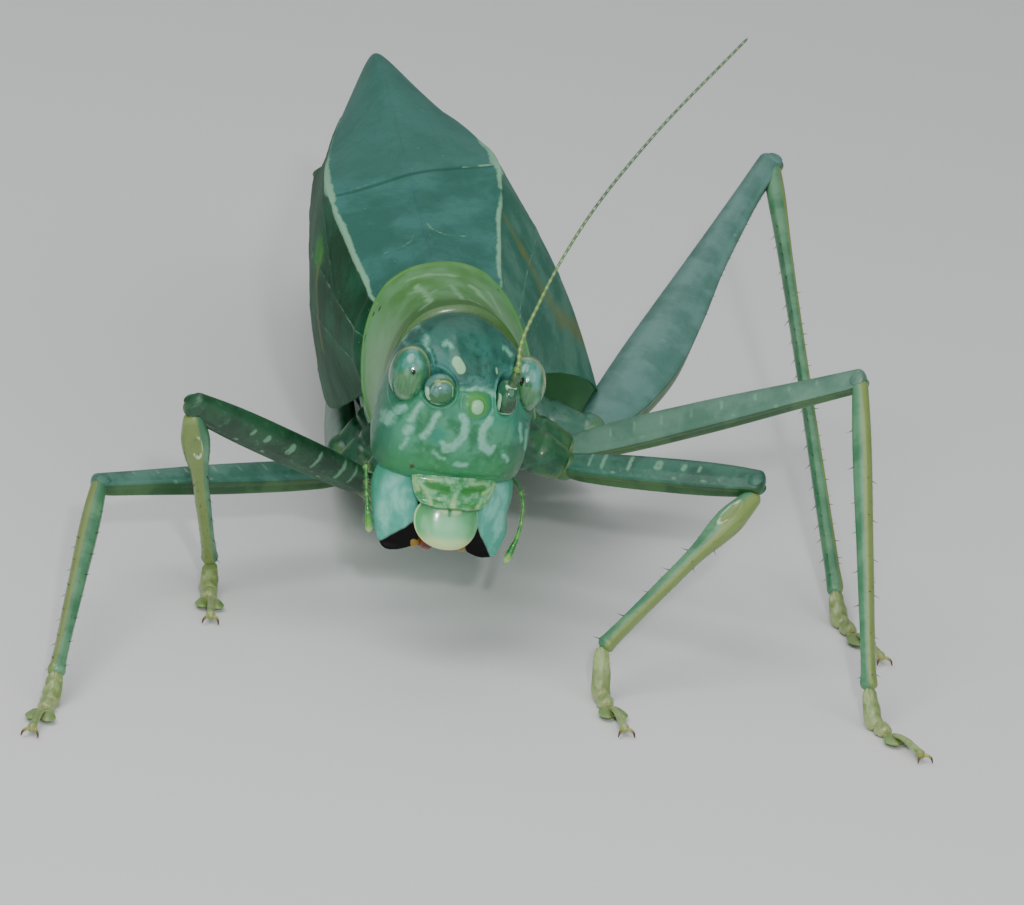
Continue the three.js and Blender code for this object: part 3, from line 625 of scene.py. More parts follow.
def feelerFinish():
    skin = Finish("feelerSkin", gloss=0.28, coat=0.5)
    place, rings = skin.field("place"), skin.field("tone")
    x = skin.axes(place)[0]
    base = skin.mix((100, 128, 72), (58, 82, 60), skin.step(x, 2, 8))
    base = skin.mix(base, (30, 44, 30), skin.step(rings, 0.5, 0.9) * 0.65)
    # painted glints: paler on the swell of each ring
    base = skin.mix(base, (150, 170, 128), skin.step(rings, 0.10, 0.02) * 0.5)
    return skin.paint(base, bump=rings)


def glassFinish(name, low, high):  # the clear bulb of a feeler's first joint
    skin = Finish(name, gloss=0.16, coat=0.5, glow=0.12, bumpDepth=0.000004)
    skin.shader.inputs["Coat Roughness"].default_value = 0.04
    place = skin.field("place")
    x, _, z = skin.axes(place)
    mottle = skin.noise(place, 2.4, 3)
    base = skin.mix(low, high, skin.step(z - x * 0.4 + (mottle - 0.5) * 0.9, -0.15, 0.3))
    base = skin.mix(base, (148, 166, 88), skin.field("tone") * 0.8)
    base = skin.mix(base, (34, 70, 48), skin.step(skin.field("dark"), 0.05, 0.0) * 0.7)
    # painted highlights: the pale field holds glints along the rim and bottom
    base = skin.mix(base, (176, 208, 180), skin.mark("pale", mottle, 0.1, 0.06, -0.02) * 0.85)
    return skin.paint(base, bump=mottle)


def buildFeelers():
    clear = glassFinish("scapeGlass", (52, 96, 62), (86, 122, 114))
    # the left first joint takes a darker copy of the same glass: painted shade of the socket it sits in
    deep = glassFinish("stubShadedGlass", (26, 60, 38), (48, 88, 66))
    whipFinish = feelerFinish()
    own = ball((0, 0, 0), (1, 1, 1), 44, 60)
    flat = np.hypot(own[..., 0], own[..., 2])
    front = own[..., 1] < 0
    # right: only the first joint is left, a round bulb with a paler ring in its socket
    arc = hill(flat, 0.80, 0.07) * step(0.25, 0.7, own[..., 2]) * front
    ring = np.where(front, np.abs(flat - 0.84) - 0.02 + 0.06 * step(0.0, -0.4, own[..., 2]), 9)
    # painted glints on the bulb's left rim and bottom
    gleams = [
        [0.06, (-0.93, 0.10), (-0.90, -0.36), (-0.72, -0.62)],
        [0.07, (-0.50, -0.84), (0.10, -0.96), (0.50, -0.86)], [0.03, (0.60, 0.40), (0.70, -0.20)],
    ]
    light = np.where(front, toStrokes(own[..., 0], own[..., 2], gleams), 9)
    inside = 1 - 0.05 * hill(flat, 0.72, 0.06)[..., None]
    stump = Surface()
    bulb = np.array(feeler["bulb"]) + own * inside * np.array(feeler["bulbHalf"])
    stump.add(fromHead(bulb), place=own, tone=arc, dark=ring, pale=light)
    stump.build("antenna_r_bulb", [clear], ["antenna_r"])
    # left: first joint, a small round second joint, and the long ringed whip
    # painted glints on the first joint's left rim, bottom and top
    gleams = [
        [0.06, (-0.86, 0.20), (-0.84, -0.20), (-0.70, -0.66)],
        [0.10, (-0.60, -0.80), (0.10, -0.90), (0.66, -0.72)],
        [0.05, (-0.40, 0.72), (0.0, 0.80), (0.42, 0.70)],
    ]
    squarish = (
        (np.abs(own[..., 0]) ** 3 + np.abs(own[..., 2]) ** 3 + 1e-9) ** (-1 / 3) * np.maximum(flat, 1e-3)
    )
    squarish = np.stack([squarish, 1 + 0 * flat, squarish], -1)
    light = np.where(front, toStrokes(own[..., 0], own[..., 2], gleams), 9)
    whole = Surface()
    stub = fromHead(np.array(feeler["stub"]) + own * squarish * np.array(feeler["stubHalf"]))
    whole.add(stub, place=own, pale=light, finish=0)
    neck = fromHead(path([[1.38, -2.30, 1.70], [1.42, -2.44, 2.10], feeler["knob"]], 12))
    wide = np.array([0.20, 0.20, 0.20, 0.17, 0.15, 0.17, 0.20, 0.21, 0.20, 0.17, 0.14, 0.10])
    whole.add(tube(neck, wide, wide, 24, (1, 0, 0)), tone=0.1, finish=0)
    knob = fromHead(np.array(feeler["knob"]) + own * feeler["knobHalf"])
    whole.add(knob, place=own, tone=0.5, finish=1)
    rows = feeler["rows"]
    start = fromHead(np.array(feeler["knob"]) + [0.02, -0.04, 0.10])
    line = path([start, *feeler["whip"]], rows)
    t = np.linspace(0, 1, rows)
    length = np.linalg.norm(np.diff(line, axis=0), axis=1).sum()
    beat = np.abs(np.sin(np.pi * t * length / feeler["ringLength"])) ** 0.4  # narrow waists between the rings
    radius = through(feeler["radius"], t) * (0.78 + 0.22 * beat)
    radius[-12:] *= np.linspace(1, 0.3, 12)
    whip = tube(line, radius, radius, 10, (1, 0, 0))
    distance = np.repeat((t * length)[:, None], 10, 1)
    along = np.stack([distance, 0 * distance, 0 * distance], -1)
    whole.add(whip, place=along, tone=(1 - beat)[:, None], finish=1)
    whole.build("antenna_l_whip", [deep, whipFinish], ["antenna_l"])


# The mouth: face plate, upper lip, jaws, inner parts and palps.
def shieldFinish(name):
    return Finish(name, gloss=0.24, coat=0.6, glow=0.15, bumpDepth=0.000015)


def clypeusFinish():
    skin = shieldFinish("clypeusSkin")
    place = skin.field("place")  # x across in millimetres, y down 0 to 1
    mottle = skin.noise(skin.stretch(place, (1, 1.4, 1)), 2.6, 4, 0.6)
    base = skin.mix((66, 124, 84), (116, 168, 128), skin.step(mottle, 0.42, 0.62))
    base = skin.mix(base, (44, 104, 46), skin.mark("dark", mottle, 0.3, 0.08, -0.08) * 0.9)
    # pale: cream marks, and painted highlights along the top edge
    base = skin.mix(base, (148, 180, 134), skin.mark("pale", mottle, 0.36, 0.07, -0.09) * 0.85)
    base = skin.mix(base, (52, 70, 26), skin.field("tone") * 0.8)
    return skin.paint(base, bump=mottle)


def labrumFinish():
    skin = shieldFinish("labrumSkin")
    place = skin.field("place")  # across and down, -1 to 1 from the middle, and the share of the way out
    x, y, z = skin.axes(place)
    mottle = skin.noise(place, 2.0, 3)
    middle = skin.step(x * x + mottle * 0.3, 0.72, 0.12)
    base = skin.mix((96, 156, 110), (138, 190, 154), middle * skin.step(y, -0.8, 0.1))
    base = skin.mix(base, (190, 204, 158), skin.step(y + (mottle - 0.5) * 0.4, 0.30, 0.85) * 0.9)
    # a thin pale rim round the edge: partly its own pale edge, partly a painted highlight
    base = skin.mix(base, (198, 222, 178), skin.step(z, 0.955, 0.985) * 0.9)
    base = skin.mix(base, (176, 204, 162), skin.mark("pale", mottle, 0.1, 0.05, -0.05))
    base = skin.mix(base, (52, 108, 62), skin.step(skin.field("dark"), 0.05, -0.02) * 0.8)
    return skin.paint(base, bump=mottle)


def jawFinish():
    skin = Finish("jawSkin", gloss=0.34, glow=0.12)
    skin.shader.inputs["Specular IOR Level"].default_value = 0.15
    place = skin.field("place")
    x, _, z = skin.axes(place)
    mottle = skin.noise(skin.stretch(place, (1, 1, 0.5)), 1.6, 4, 0.6)
    base = skin.mix((98, 154, 140), (134, 184, 170), skin.step(mottle, 0.42, 0.62))
    # painted shade: darker towards the outer edge, on a slant
    base = skin.mix(base, (62, 116, 92), skin.step(x + z * 0.18 + (mottle - 0.5) * 0.5, 0.52, 0.78) * 0.7)
    base = skin.mix(base, (66, 120, 96), skin.step(z + (mottle - 0.5) * 0.8, 0.75, 1.25) * 0.6)
    # painted highlights: pale streaks on the broad face
    base = skin.mix(base, (156, 202, 190), skin.mark("pale", mottle, 0.6, 0.16, -0.16) * 0.5)
    black = skin.mark("tone", mottle, 0.14, 0.03, -0.03)
    base = skin.mix(base, (70, 44, 30), skin.mark("tone", mottle, 0.2, 0.12, 0.0) * 0.6)
    base = skin.mix(base, (3, 2, 2), black)
    return skin.paint(base, bump=mottle)


def innerFinish():
    skin = Finish("innerMouth", gloss=0.3, coat=0.5, glow=0.12)
    mottle = skin.noise(skin.field("place"), 2.4, 3)
    base = skin.mix((70, 32, 10), (128, 62, 18), skin.step(mottle, 0.35, 0.65))
    base = skin.mix(base, (124, 104, 50), skin.mark("tone", mottle, 0.3, 0.45, 0.6) * 0.9)
    return skin.paint(base, bump=mottle)


def shadeFinish():
    # near black, for the painted shade inside the mouth
    skin = Finish("mouthShadeBlack", gloss=0.3)
    skin.shader.inputs["Specular IOR Level"].default_value = 0.2
    mottle = skin.noise(skin.field("place"), 3.0, 3)
    base = skin.mix((7, 5, 5), (30, 12, 8), skin.step(mottle, 0.55, 0.8))
    return skin.paint(base, bump=mottle)


def palpFinish():
    skin = Finish("palpSkin", gloss=0.28, coat=0.5, glow=0.12)
    place = skin.field("place")
    x = skin.axes(place)[0]
    mottle = skin.noise(place, 3.0, 2)
    base = skin.mix((40, 104, 46), (76, 146, 70), skin.step(mottle, 0.4, 0.66))
    base = skin.mix(base, (64, 98, 72), skin.step(x, 0.42, 0.30) * 0.8)
    base = skin.mix(base, (150, 176, 124), skin.step(x, 0.90, 0.98))
    base = skin.mix(base, (150, 184, 132), skin.field("tone") * 0.5)
    return skin.paint(base, bump=mottle)


def hairFinish():
    skin = Finish("hairHorn", gloss=0.4)
    base = skin.mix((140, 156, 110), (46, 36, 22), skin.step(skin.field("tone"), 0.2, 0.8))
    return skin.paint(base)


# The face plate over the upper lip: bowed, with bars, cream marks and painted highlights along its top edge,
# and a dark lower edge.
def buildClypeus():
    u = np.linspace(-0.05, 1, 70)[:, None]
    v = np.linspace(-1, 1, 130)[None]
    half = 1.76 - 0.12 * u - 0.40 * np.clip(u, 0, 1) ** 3
    x = half * v
    z = -2.30 - 1.20 * u + 0.025 * np.cos(7 * v) * u
    y = -2.06 - 0.24 * u + 0.12 * x * x - 0.07 * np.sin(np.pi * np.clip(u, 0, 1))
    y = y - 0.05 * hill(u, 0.12, 0.10) - 0.08 * hill(u, 0.92, 0.07) + 0.12 * step(0.86, 1, np.abs(v))
    # two hollows on each side of a low middle keel
    y = (
        y + 0.06 * (hill(x, -0.78, 0.36) + hill(x, 0.78, 0.36)) * hill(u, 0.60, 0.13)
        - 0.04 * hill(x, 0, 0.16)
    )
    outer = np.stack([x, y, z + 0 * v], -1)
    down = u + 0 * v
    wavyX, wavyDown = x + 0.06 * ripple(x, down, 0.6, 41), down * 1.2 + 0.05 * ripple(x, down, 0.5, 42)
    bars = toStrokes(wavyX, wavyDown, [
        [0.17, (-1.12, 0.34), (-0.86, 0.38), (-0.40, 0.38)], [0.17, (0.36, 0.42), (0.80, 0.40), (1.12, 0.34)],
        [0.06, (-0.7, 0.56), (-0.35, 0.60)], [0.09, (-0.82, 0.98), (-0.50, 1.0)],
        [0.10, (0.45, 1.0), (0.86, 0.98)], [0.05, (-1.42, 0.62), (-1.30, 0.86)],
    ])
    creams = toStrokes(wavyX, wavyDown, [
        [0.06, (-1.64, 0.12), (-1.62, 0.40), (-1.50, 0.62)],
        [0.06, (-1.50, 0.30), (-1.30, 0.50), (-1.10, 0.56)],
        [0.07, (-1.16, 0.62), (-1.02, 0.84), (-0.94, 1.06)], [0.06, (1.60, 0.15), (1.58, 0.42), (1.44, 0.70)],
        [0.06, (1.14, 0.78), (1.00, 1.04)], [0.06, (1.20, 0.52), (1.46, 0.36)],
        [0.06, (-0.01, 0.62), (-0.04, 0.76)], [0.12, (-0.04, 0.88), (-0.06, 1.06)],
        # these two thin lines along the top edge are painted highlights
        [0.04, (-1.20, 0.14), (-0.60, 0.12)], [0.04, (0.62, 0.14), (1.20, 0.12)],
    ])
    lowerEdge = hill(down, 0.985, 0.025)
    fields = {"place": np.stack([x, down, 0 * x], -1), "dark": bars, "pale": creams, "tone": lowerEdge}
    edge = np.sqrt(np.clip(1 - np.abs(v) ** 14, 0.02, 1) * np.clip(1 - np.abs(2 * u - 1) ** 14, 0.02, 1))
    clypeus = Surface()
    sheets = {name: twice(value) for name, value in fields.items()}
    clypeus.add(fromHead(plate(outer, -0.42 * edge)), ends="strip", **sheets)
    clypeus.build("clypeus_shield", [clypeusFinish()], ["clypeus"])


# The upper lip: a round shield, drawn as rings from its middle out to its rim and back in behind.
def buildLabrum():
    out = np.concatenate([np.linspace(0.02, 0.9, 44), 0.9 + 0.1 * np.sin(np.linspace(0.1, np.pi / 2, 14))])
    out = np.concatenate([out, out[::-1]])[:, None]
    behind = (np.arange(len(out)) >= len(out) // 2)[:, None]
    angle = np.linspace(0, 2 * np.pi, 120, endpoint=False)[None]
    wide, tall = np.cos(angle), np.sin(angle)
    square = (np.abs(wide) ** 2.3 + np.abs(tall) ** 2.3) ** (-1 / 2.3)
    x = 1.32 * out * wide * square * (1 - 0.10 * np.clip(tall, 0, 1) ** 2)
    drop = -out * tall * square  # -1 at the top to 1 at the bottom
    z = -4.16 - 1.02 * drop
    lean = -1.97 - 0.34 * drop + 0.20 * x * x
    bulge = 0.20 * np.sqrt(np.clip(1 - out ** 2, 0, 1)) + 0.10 * (1 - out ** 6)
    y = np.where(behind, lean + 0.16 * (1 - out ** 8), lean - bulge)
    y = y + 0.03 * hill(x, 0, 0.10) * step(0.1, -0.8, drop) * ~behind
    lip = np.stack([x, y, z], -1)
    creams = toStrokes(
        x, drop, [[0.12, (-0.36, -0.56), (-0.26, -0.50)], [0.12, (0.16, -0.50), (0.34, -0.54)]]
    )
    notch = toStrokes(x, drop, [[0.05, (-0.05, -0.70), (-0.06, -0.34)]])
    labrum = Surface()
    place = np.stack([x / 1.32, drop, out + 0 * x], -1)
    labrum.add(fromHead(lip), place=place, dark=np.where(behind, 9, notch), pale=np.where(behind, 9, creams))
    labrum.build("labrum_shield", [labrumFinish()], ["labrum"])


# A jaw: rings from its hinge to its toothed tip. Its broad face looks out and forward; below a slanting
# line it is black.
def buildJaws():
    stations = [  # height, outer edge, inner edge, half depth
        [-1.95, 2.40, 1.55, 0.30], [-2.30, 2.62, 1.30, 0.42], [-2.70, 2.80, 1.22, 0.50],
        [-3.20, 2.88, 1.20, 0.52],
        [-3.70, 2.84, 1.16, 0.50], [-4.20, 2.76, 1.04, 0.46], [-4.70, 2.64, 0.92, 0.38],
        [-5.10, 2.50, 0.90, 0.30],
        [-5.40, 2.36, 1.08, 0.22], [-5.66, 2.20, 1.50, 0.12], [-5.74, 2.06, 1.85, 0.03],
    ]
    finish = jawFinish()
    for letter, side in (("l", 1), ("r", -1)):
        line = path(stations, 110)
        height, outer, inner, deep = (line[:, k][:, None] for k in range(4))
        angle = np.linspace(0, 2 * np.pi, 84, endpoint=False)[None]
        teeth = 0.14 * np.abs(np.mod((height + 5.3) / 0.34, 1) - 0.5) * step(-4.3, -4.7, height)
        inner = inner + teeth
        outer = outer + 0.34 * step(-3.9, -5.0, height) * (letter == "l")
        wide = np.sign(np.cos(angle)) * np.abs(np.cos(angle)) ** 0.85
        middle, half = (outer + inner) / 2, (outer - inner) / 2
        thick = deep * np.sin(angle) * (0.85 + 0.15 * wide)
        x = middle + half * wide + 0.35 * thick
        y = -0.95 + 0.42 * half * wide + 0.9 * thick + 0.10 * (height + 4.0)
        # a shallow groove runs down the broad face
        y = (
            y + 0.05 * hill(x, 2.25 + 0.1 * (height + 4), 0.12) * (np.sin(angle) < 0)
            * step(-5.0, -4.4, height)
        )
        shell = np.stack([side * x, y, height + 0 * angle], -1)
        high, slope = (4.54, 1.45) if letter == "l" else (4.64, 1.05)
        black = (height + high) + (x - 1.45) * slope + 0.05 * ripple(x, height, 0.5, 7)
        own = np.stack([x - middle, y + 1.0, height + 3.6 + 0 * angle], -1)
        # pale streaks on the broad face: painted highlights
        gleam = toStrokes(
            x, height + 0 * angle, [[0.10, (2.00, -2.70), (2.35, -3.2)], [0.06, (2.45, -3.9), (2.2, -4.5)]]
        )
        jaw = Surface()
        jaw.add(fromHead(shell), place=own, tone=black, pale=gleam)
        jaw.build(f"mandible_{letter}_horn", [finish], [f"mandible_{letter}"])


def buildInnerMouth():
    inner, dark = innerFinish(), shadeFinish()
    own = ball((0, 0, 0), (1, 1, 1), 36, 48)
    labium = Surface()
    groove = 1 - 0.12 * hill(own[..., :1], 0, 0.12) * (own[..., 1:2] < 0)
    labium.add(fromHead(np.array([0, 0.5, -4.0]) + own * groove * (1.0, 0.45, 1.0)), place=own, tone=0.3)
    labium.build("labium_lobes", [inner], ["labium"])
    thickness = np.array([0.30] * 14 + [0.30, 0.29, 0.27, 0.24, 0.18, 0.06])
    for letter, side in (("l", 1), ("r", -1)):
        lobes = Surface()
        body = np.array([side * 0.62, -0.6, -4.0]) + own * (0.5, 0.42, 1.0)
        lobes.add(fromHead(body), place=own)
        # the outer lobe with its yellow tip, and the brown inner one
        fingers = [
            ([[side * 0.80, -0.8, -4.4], [side * 1.02, -1.0, -5.0], [side * 0.98, -1.15, -5.60]], 1.35, 0.3),
            ([[side * 0.40, -0.8, -4.4], [side * 0.48, -1.0, -5.0], [side * 0.42, -1.2, -5.62]], 1.50, -0.5),
        ]
        for places, size, tipTone in fingers:
            line = fromHead(path(places, 20))
            grid = tube(line, size * thickness, size * thickness * 0.8, 20, (0, 1, 0))
            tone = np.repeat(np.linspace(-0.1, 0.5 + tipTone, 20)[:, None], 20, 1)
            lobes.add(grid, place=grid - line[0], tone=tone)
        lobes.build(f"maxilla_{letter}_lobes", [inner], [f"maxilla_{letter}"])
    # a black ball behind the upper lip and between the jaws: painted shade filling the mouth
    shadeBall = Surface()
    shadeBall.add(fromHead(np.array([0, -0.62, -3.6]) + own * (2.0, 0.40, 1.5)), place=own)
    shadeBall.build("mouth_shade_ball", [dark])


# The small feelers beside the jaws: thin joints, the last one a little club with a pale tip.
def buildPalps():
    skin, hair = palpFinish(), hairFinish()
    random = np.random.default_rng(5)
    routes = {
        "r": [
            (-2.3, 0.9, -3.3), (-2.95, 0.5, -3.0), (-3.12, 0.0, -2.72), (-3.0, -0.6, -3.98),
            (-2.76, -0.9, -5.20)
        ],
        "l": [
            (2.3, 0.9, -3.3), (3.10, 0.2, -2.90), (3.38, -0.4, -3.46), (3.36, -0.8, -4.60),
            (2.95, -1.05, -5.95)
        ],
    }
    count = 160
    for letter, places in routes.items():
        line = fromHead(path(places, count))
        t = np.linspace(0, 1, count)
        radius = through(
            [[0, 0.12], [0.22, 0.09], [0.42, 0.06], [0.62, 0.065], [0.8, 0.095], [0.94, 0.15], [1, 0.145]], t
        )
        radius = radius * (1 + 0.05 * np.sin(2 * np.pi * t * 26))
        joints = hill(t, 0.38, 0.012) + hill(t, 0.64, 0.012)
        radius = radius * (1 - 0.18 * hill(t, 0.355, 0.01) + 0.22 * joints - 0.18 * hill(t, 0.665, 0.01))
        radius[-7:] *= [0.98, 0.94, 0.87, 0.76, 0.6, 0.4, 0.12]
        palp = Surface()
        grid = tube(line, radius, radius, 18, (0, 1, 0.2))
        place = np.stack([t[:, None] + 0 * grid[..., 0], grid[..., 1], grid[..., 2]], -1)
        palp.add(grid, place=place, tone=joints[:, None])
        hairs = 110
        row = random.integers(50, count - 6, hairs)
        column = random.integers(0, 18, hairs)
        roots = grid[row, column]
        out = unit(roots - line[row])
        down = unit(line[np.minimum(row + 2, count - 1)] - line[row - 2])
        tips = roots + (out * 0.8 + down * 0.6) * random.uniform(0.10, 0.20, (hairs, 1))
        palp.add(spikes(roots, tips, np.full(hairs, 0.010), out * 0.01), finish=1, tone=0.1)
        palp.build(f"palp_{letter}_joints", [skin, hair], [f"palp_{letter}"])


# The collar, a shell over the neck.
collar = {"rows": 150, "columns": 280, "thickness": 0.3}


# An arch over the neck: u runs back and v over it from the right lower edge to the left one. Its front,
# where u is below 0, turns in towards the neck.
def collarSheet():
    u = np.concatenate([np.linspace(-0.3, 0, 34)[:-1], np.linspace(0, 1, collar["rows"] - 33)])[:, None]
    v = np.linspace(0, 1, collar["columns"])[None]
    angle = (0.5 - v) * np.pi
    lobe = np.sqrt((2 * v - 1) ** 2 + 0.002)
    back = np.clip(u, 0, 1)
    front = -0.35 + 0.9 * lobe ** 3
    rear = 6.3 - 1.7 * lobe ** 2
    half = 2.75 + 0.45 * back + 0.2 * lobe
    sine, cosine = np.sin(angle), np.abs(np.cos(angle))
    x = -half * np.sign(sine) * np.abs(sine) ** 0.8
    top = 0.25 * back - 0.25 * np.sin(np.pi * back)
    lobeDepth = 5.5 - (2 * back - 1) ** 2
    z = top - lobeDepth * (1 - cosine ** 0.9)
    y = front + (rear - front) * back
    # the turned-in front: towards the middle of the neck, first forward and then back
    turned = np.clip(-u, 0, 1)
    x = x * (1 - 1.1 * turned)
    z = z + (-3.4 - z) * 1.1 * turned
    y = y - 0.25 * np.sin(np.clip(turned / 0.3, 0, 1) * np.pi) + 1.2 * turned
    return np.stack([x, y, z + 0 * u], -1), u + 0 * v, v + 0 * u


def collarFinish():
    skin = Finish("collarSkin", gloss=0.42, coat=0.12, glow=0.08)
    place = skin.field("place")
    x = skin.axes(place)[0]
    cloud, fine = skin.noise(place, 0.7, 2), skin.noise(place, 3.0, 4, 0.6)
    base = skin.mix((78, 120, 70), (100, 140, 102), skin.step(cloud, 0.36, 0.62))
    base = skin.mix(base, (104, 146, 108), skin.step(x * x, 2.5, 7.0) * 0.5)
    # darker green on the turned-in front, partly its own colour and partly painted shade beside the head;
    # greener along the rear rim
    edge = skin.field("tone")
    base = skin.mix(base, (50, 84, 34), skin.step(edge + (cloud - 0.5) * 0.5, 1.0, 1.6) * 0.85)
    base = skin.mix(base, (62, 104, 44), skin.step(edge, 0.34, 0.06) * 0.65)
    marks = skin.field("pale") + (fine - 0.5) * 0.42
    base = skin.mix(base, (132, 170, 134), skin.step(marks, 0.16, -0.14) * 0.9)
    # painted highlight: a thin pale line along the rear rim
    base = skin.mix(base, (168, 196, 150), skin.step(edge, 0.06, 0.01) * 0.85)
    base = skin.mix(base, (58, 30, 16), skin.step(skin.field("dark"), 0.02, -0.02))
    grain = skin.cells(place, 7.0, "F1")
    return skin.paint(base, bump=fine * 0.4 + grain * 0.25)


def buildCollar():
    sheet, u, v = collarSheet()
    x, y, z = np.moveaxis(sheet, -1, 0)
    lobe = np.abs(2 * v - 1)
    normals = gridNormals(sheet)
    outward = np.sign((normals * (sheet - np.array([0, 3, -4]))).sum(-1).mean())
    normals = normals * outward
    # a cord along the rear and lower edges, faint cross grooves on the back, and a low shoulder keel
    edge = np.minimum((1 - u) * 6.0, (1 - lobe) * 7.5)
    rise = 0.09 * hill(edge, 0.09, 0.08)
    rise -= 0.03 * hill(u, 0.26 + 0.10 * lobe, 0.06) * step(0.65, 0.45, lobe)
    rise -= 0.03 * hill(u, 0.58 - 0.16 * lobe ** 0.8, 0.06) * step(0.6, 0.4, lobe)
    rise += 0.04 * hill(lobe, 0.36, 0.07) * step(0.35, 0.8, u)
    rise += 0.012 * ripple(x, y, 1.4, 12)
    sheet = sheet + normals * rise[..., None]
    marks = toStrokes(x + 0.06 * ripple(x, y, 0.8, 8), y + 0.06 * ripple(x, y, 0.8, 9), [
        [0.08, (-0.95, 4.3), (-0.72, 3.2), (-0.66, 2.2), (-0.72, 1.3), (-1.10, 0.8)],
        [0.11, (-0.66, 2.6), (-0.68, 1.6)],
        [0.06, (-0.72, 3.4), (-1.25, 3.9)], [0.06, (-0.68, 2.4), (-0.30, 3.1)],
        [0.07, (0.42, 3.6), (0.5, 2.2), (0.62, 1.1)],
        [0.08, (-1.2, 5.2), (-0.2, 5.1), (0.7, 4.8)], [0.13, (1.25, 3.9), (1.75, 2.7)],
        [0.07, (1.9, 4.3), (2.2, 3.2)], [0.06, (0.9, 1.4), (1.3, 0.7)],
    ])
    dots = [
        [0.06, (-2.66, 5.40), (-2.66, 5.40)], [0.07, (-2.42, 5.15), (-2.42, 5.15)],
        [0.06, (2.44, 5.60), (2.44, 5.60)]
    ]
    spots = toStrokes(x, y, dots) + 9 * (z < -2.2)
    # the same field runs from the rear edge (0) to 1 on the back and to 2 at the turned-in front
    tone = np.where(edge < 0.9, edge, 0.9) + step(0.55, -0.12, u) * 1.1
    taper = np.clip(np.minimum(edge, (u + 0.3) * 8) / 0.3, 0.12, 1) ** 0.5
    surface = Surface()
    fields = {"place": sheet, "pale": marks, "dark": spots, "tone": tone}
    shell = plate(sheet, outward * collar["thickness"] * taper)
    surface.add(fromBody(shell), ends="strip", **{name: twice(value) for name, value in fields.items()})
    surface.build("pronotum_shell", [collarFinish()], ["pronotum"])


# Thorax and abdomen in one skin.
trunk = {
    "rows": 420, "columns": 120,
    "width": [
        [-0.8, 1.25], [0.6, 1.6], [3.5, 2.22], [6.5, 2.4], [11, 2.85], [14.6, 2.72], [15.4, 2.42],
        [20, 2.6], [26, 2.4], [31, 1.7], [33.5, 0.85],
    ],
    "top": [
        [-0.8, -2.45], [1.0, -1.85], [3, -1.2], [6.5, -1.22], [14, -1.5], [15.6, -1.95], [20, -1.8],
        [27, -3.4], [33.5, -6.5]
    ],
    "under": [
        [-0.8, -5.1], [1.0, -6.5], [3, -7.9], [8, -9.5], [14, -9.6], [16, -9.9], [20, -11.25], [26, -11.45],
        [31, -10.2], [33.5, -8.5]
    ],
    "firstRing": 15.3, "lastRing": 33.5, "rings": 9,
}


def trunkFinish():
    skin = Finish("trunkSkin", gloss=0.42, coat=0.15, glow=0.2)
    place = skin.field("place")
    z = skin.axes(place)[2]
    cloud, fine = skin.noise(place, 0.6, 3), skin.noise(place, 3.0, 3)
    base = skin.mix((104, 150, 128), (138, 176, 150), skin.step(cloud, 0.38, 0.64))
    base = skin.mix(base, (92, 138, 96), skin.step(z, -9.0, -10.8) * 0.6)
    base = skin.mix(base, (170, 196, 164), skin.mark("pale", fine, 0.3, 0.12, -0.1) * 0.6)
    base = skin.mix(base, (62, 104, 78), skin.field("tone") * 0.7)
    base = skin.mix(base, (50, 40, 26), skin.step(skin.field("dark"), 0.03, -0.03) * 0.85)
    return skin.paint(base, bump=cloud * 0.4 + fine * 0.5)


# Rings down the body: a rounded square, a little wider below in the thorax, whose width, top and
# underside follow curves; each ring of the abdomen swells to its rear edge and folds in under the next.
def buildTrunk():
    y = np.concatenate(
        [np.linspace(-0.8, 15.0, 150), np.linspace(15.05, 33.55, trunk["rows"] - 150)]
    )[:, None]
    angle = np.linspace(0, 2 * np.pi, trunk["columns"], endpoint=False)[None]
    half, top, under = (through(trunk[name], y) for name in ("width", "top", "under"))
    up = np.sign(np.sin(angle)) * np.abs(np.sin(angle)) ** 0.85
    pear = 0.14 * (1 - step(13.5, 16, y))
    wide = np.sign(np.cos(angle)) * np.abs(np.cos(angle)) ** 0.85 * (1 - pear * up)
    ringLength = (trunk["lastRing"] - trunk["firstRing"]) / trunk["rings"]
    count = (y - trunk["firstRing"]) / ringLength
    part = np.mod(count, 1)
    inside = step(15.2, 15.6, y) * (1 - step(33.2, 33.5, y))
    swell = (
        inside
        * (0.045 * np.sin(np.pi * part ** 1.4) - 0.05 * hill(part, 0, 0.05) - 0.05 * hill(part, 1, 0.03))
    )
    closing = np.sqrt(np.clip(1 - ((y - 32.9) / 0.75) ** 2, 0.03, 1)) * (y > 32.9) + (y <= 32.9)
    grow = (1 + swell) * closing
    x = half * wide * grow
    z = (top + under) / 2 + up * (top - under) / 2 * grow
    # a groove where back plate and belly plate meet, and slanting folds on the thorax
    low = hill(up, -0.52, 0.06) * step(15.6, 16.4, y)
    fold = (
        hill(np.mod(y + 0.55 * z + 0.4, 3.6), 1.8, 0.16) * step(2.0, 3.0, y) * (1 - step(13.6, 14.4, y))
        * (np.abs(wide) > 0.6)
    )
    shrink = 1 - 0.05 * low - 0.05 * fold
    x, z = x * shrink, z
    shell = np.stack([x, y + 0 * angle, z], -1)
    breath = toStrokes(
        (part - 0.32 + 0 * angle) * ringLength, (up + 0.30) * 3.2 + 0 * y, [[0.10, (0, -0.12), (0, 0.12)]]
    )
    breath = np.where((y > 16) & (y < 31.5), breath, 9)
    stripe = np.abs(up - 0.25) * 3.5 - 0.12 + 0 * y
    tone = np.clip(low + fold + inside * hill(part, 0, 0.05), 0, 1)
    surface = Surface()
    surface.add(fromBody(shell), place=shell, tone=tone, dark=breath, pale=np.where(y > 15.5, stripe, 9))
    surface.build("trunk_skin", [trunkFinish()], ["thorax", "abdomen"])


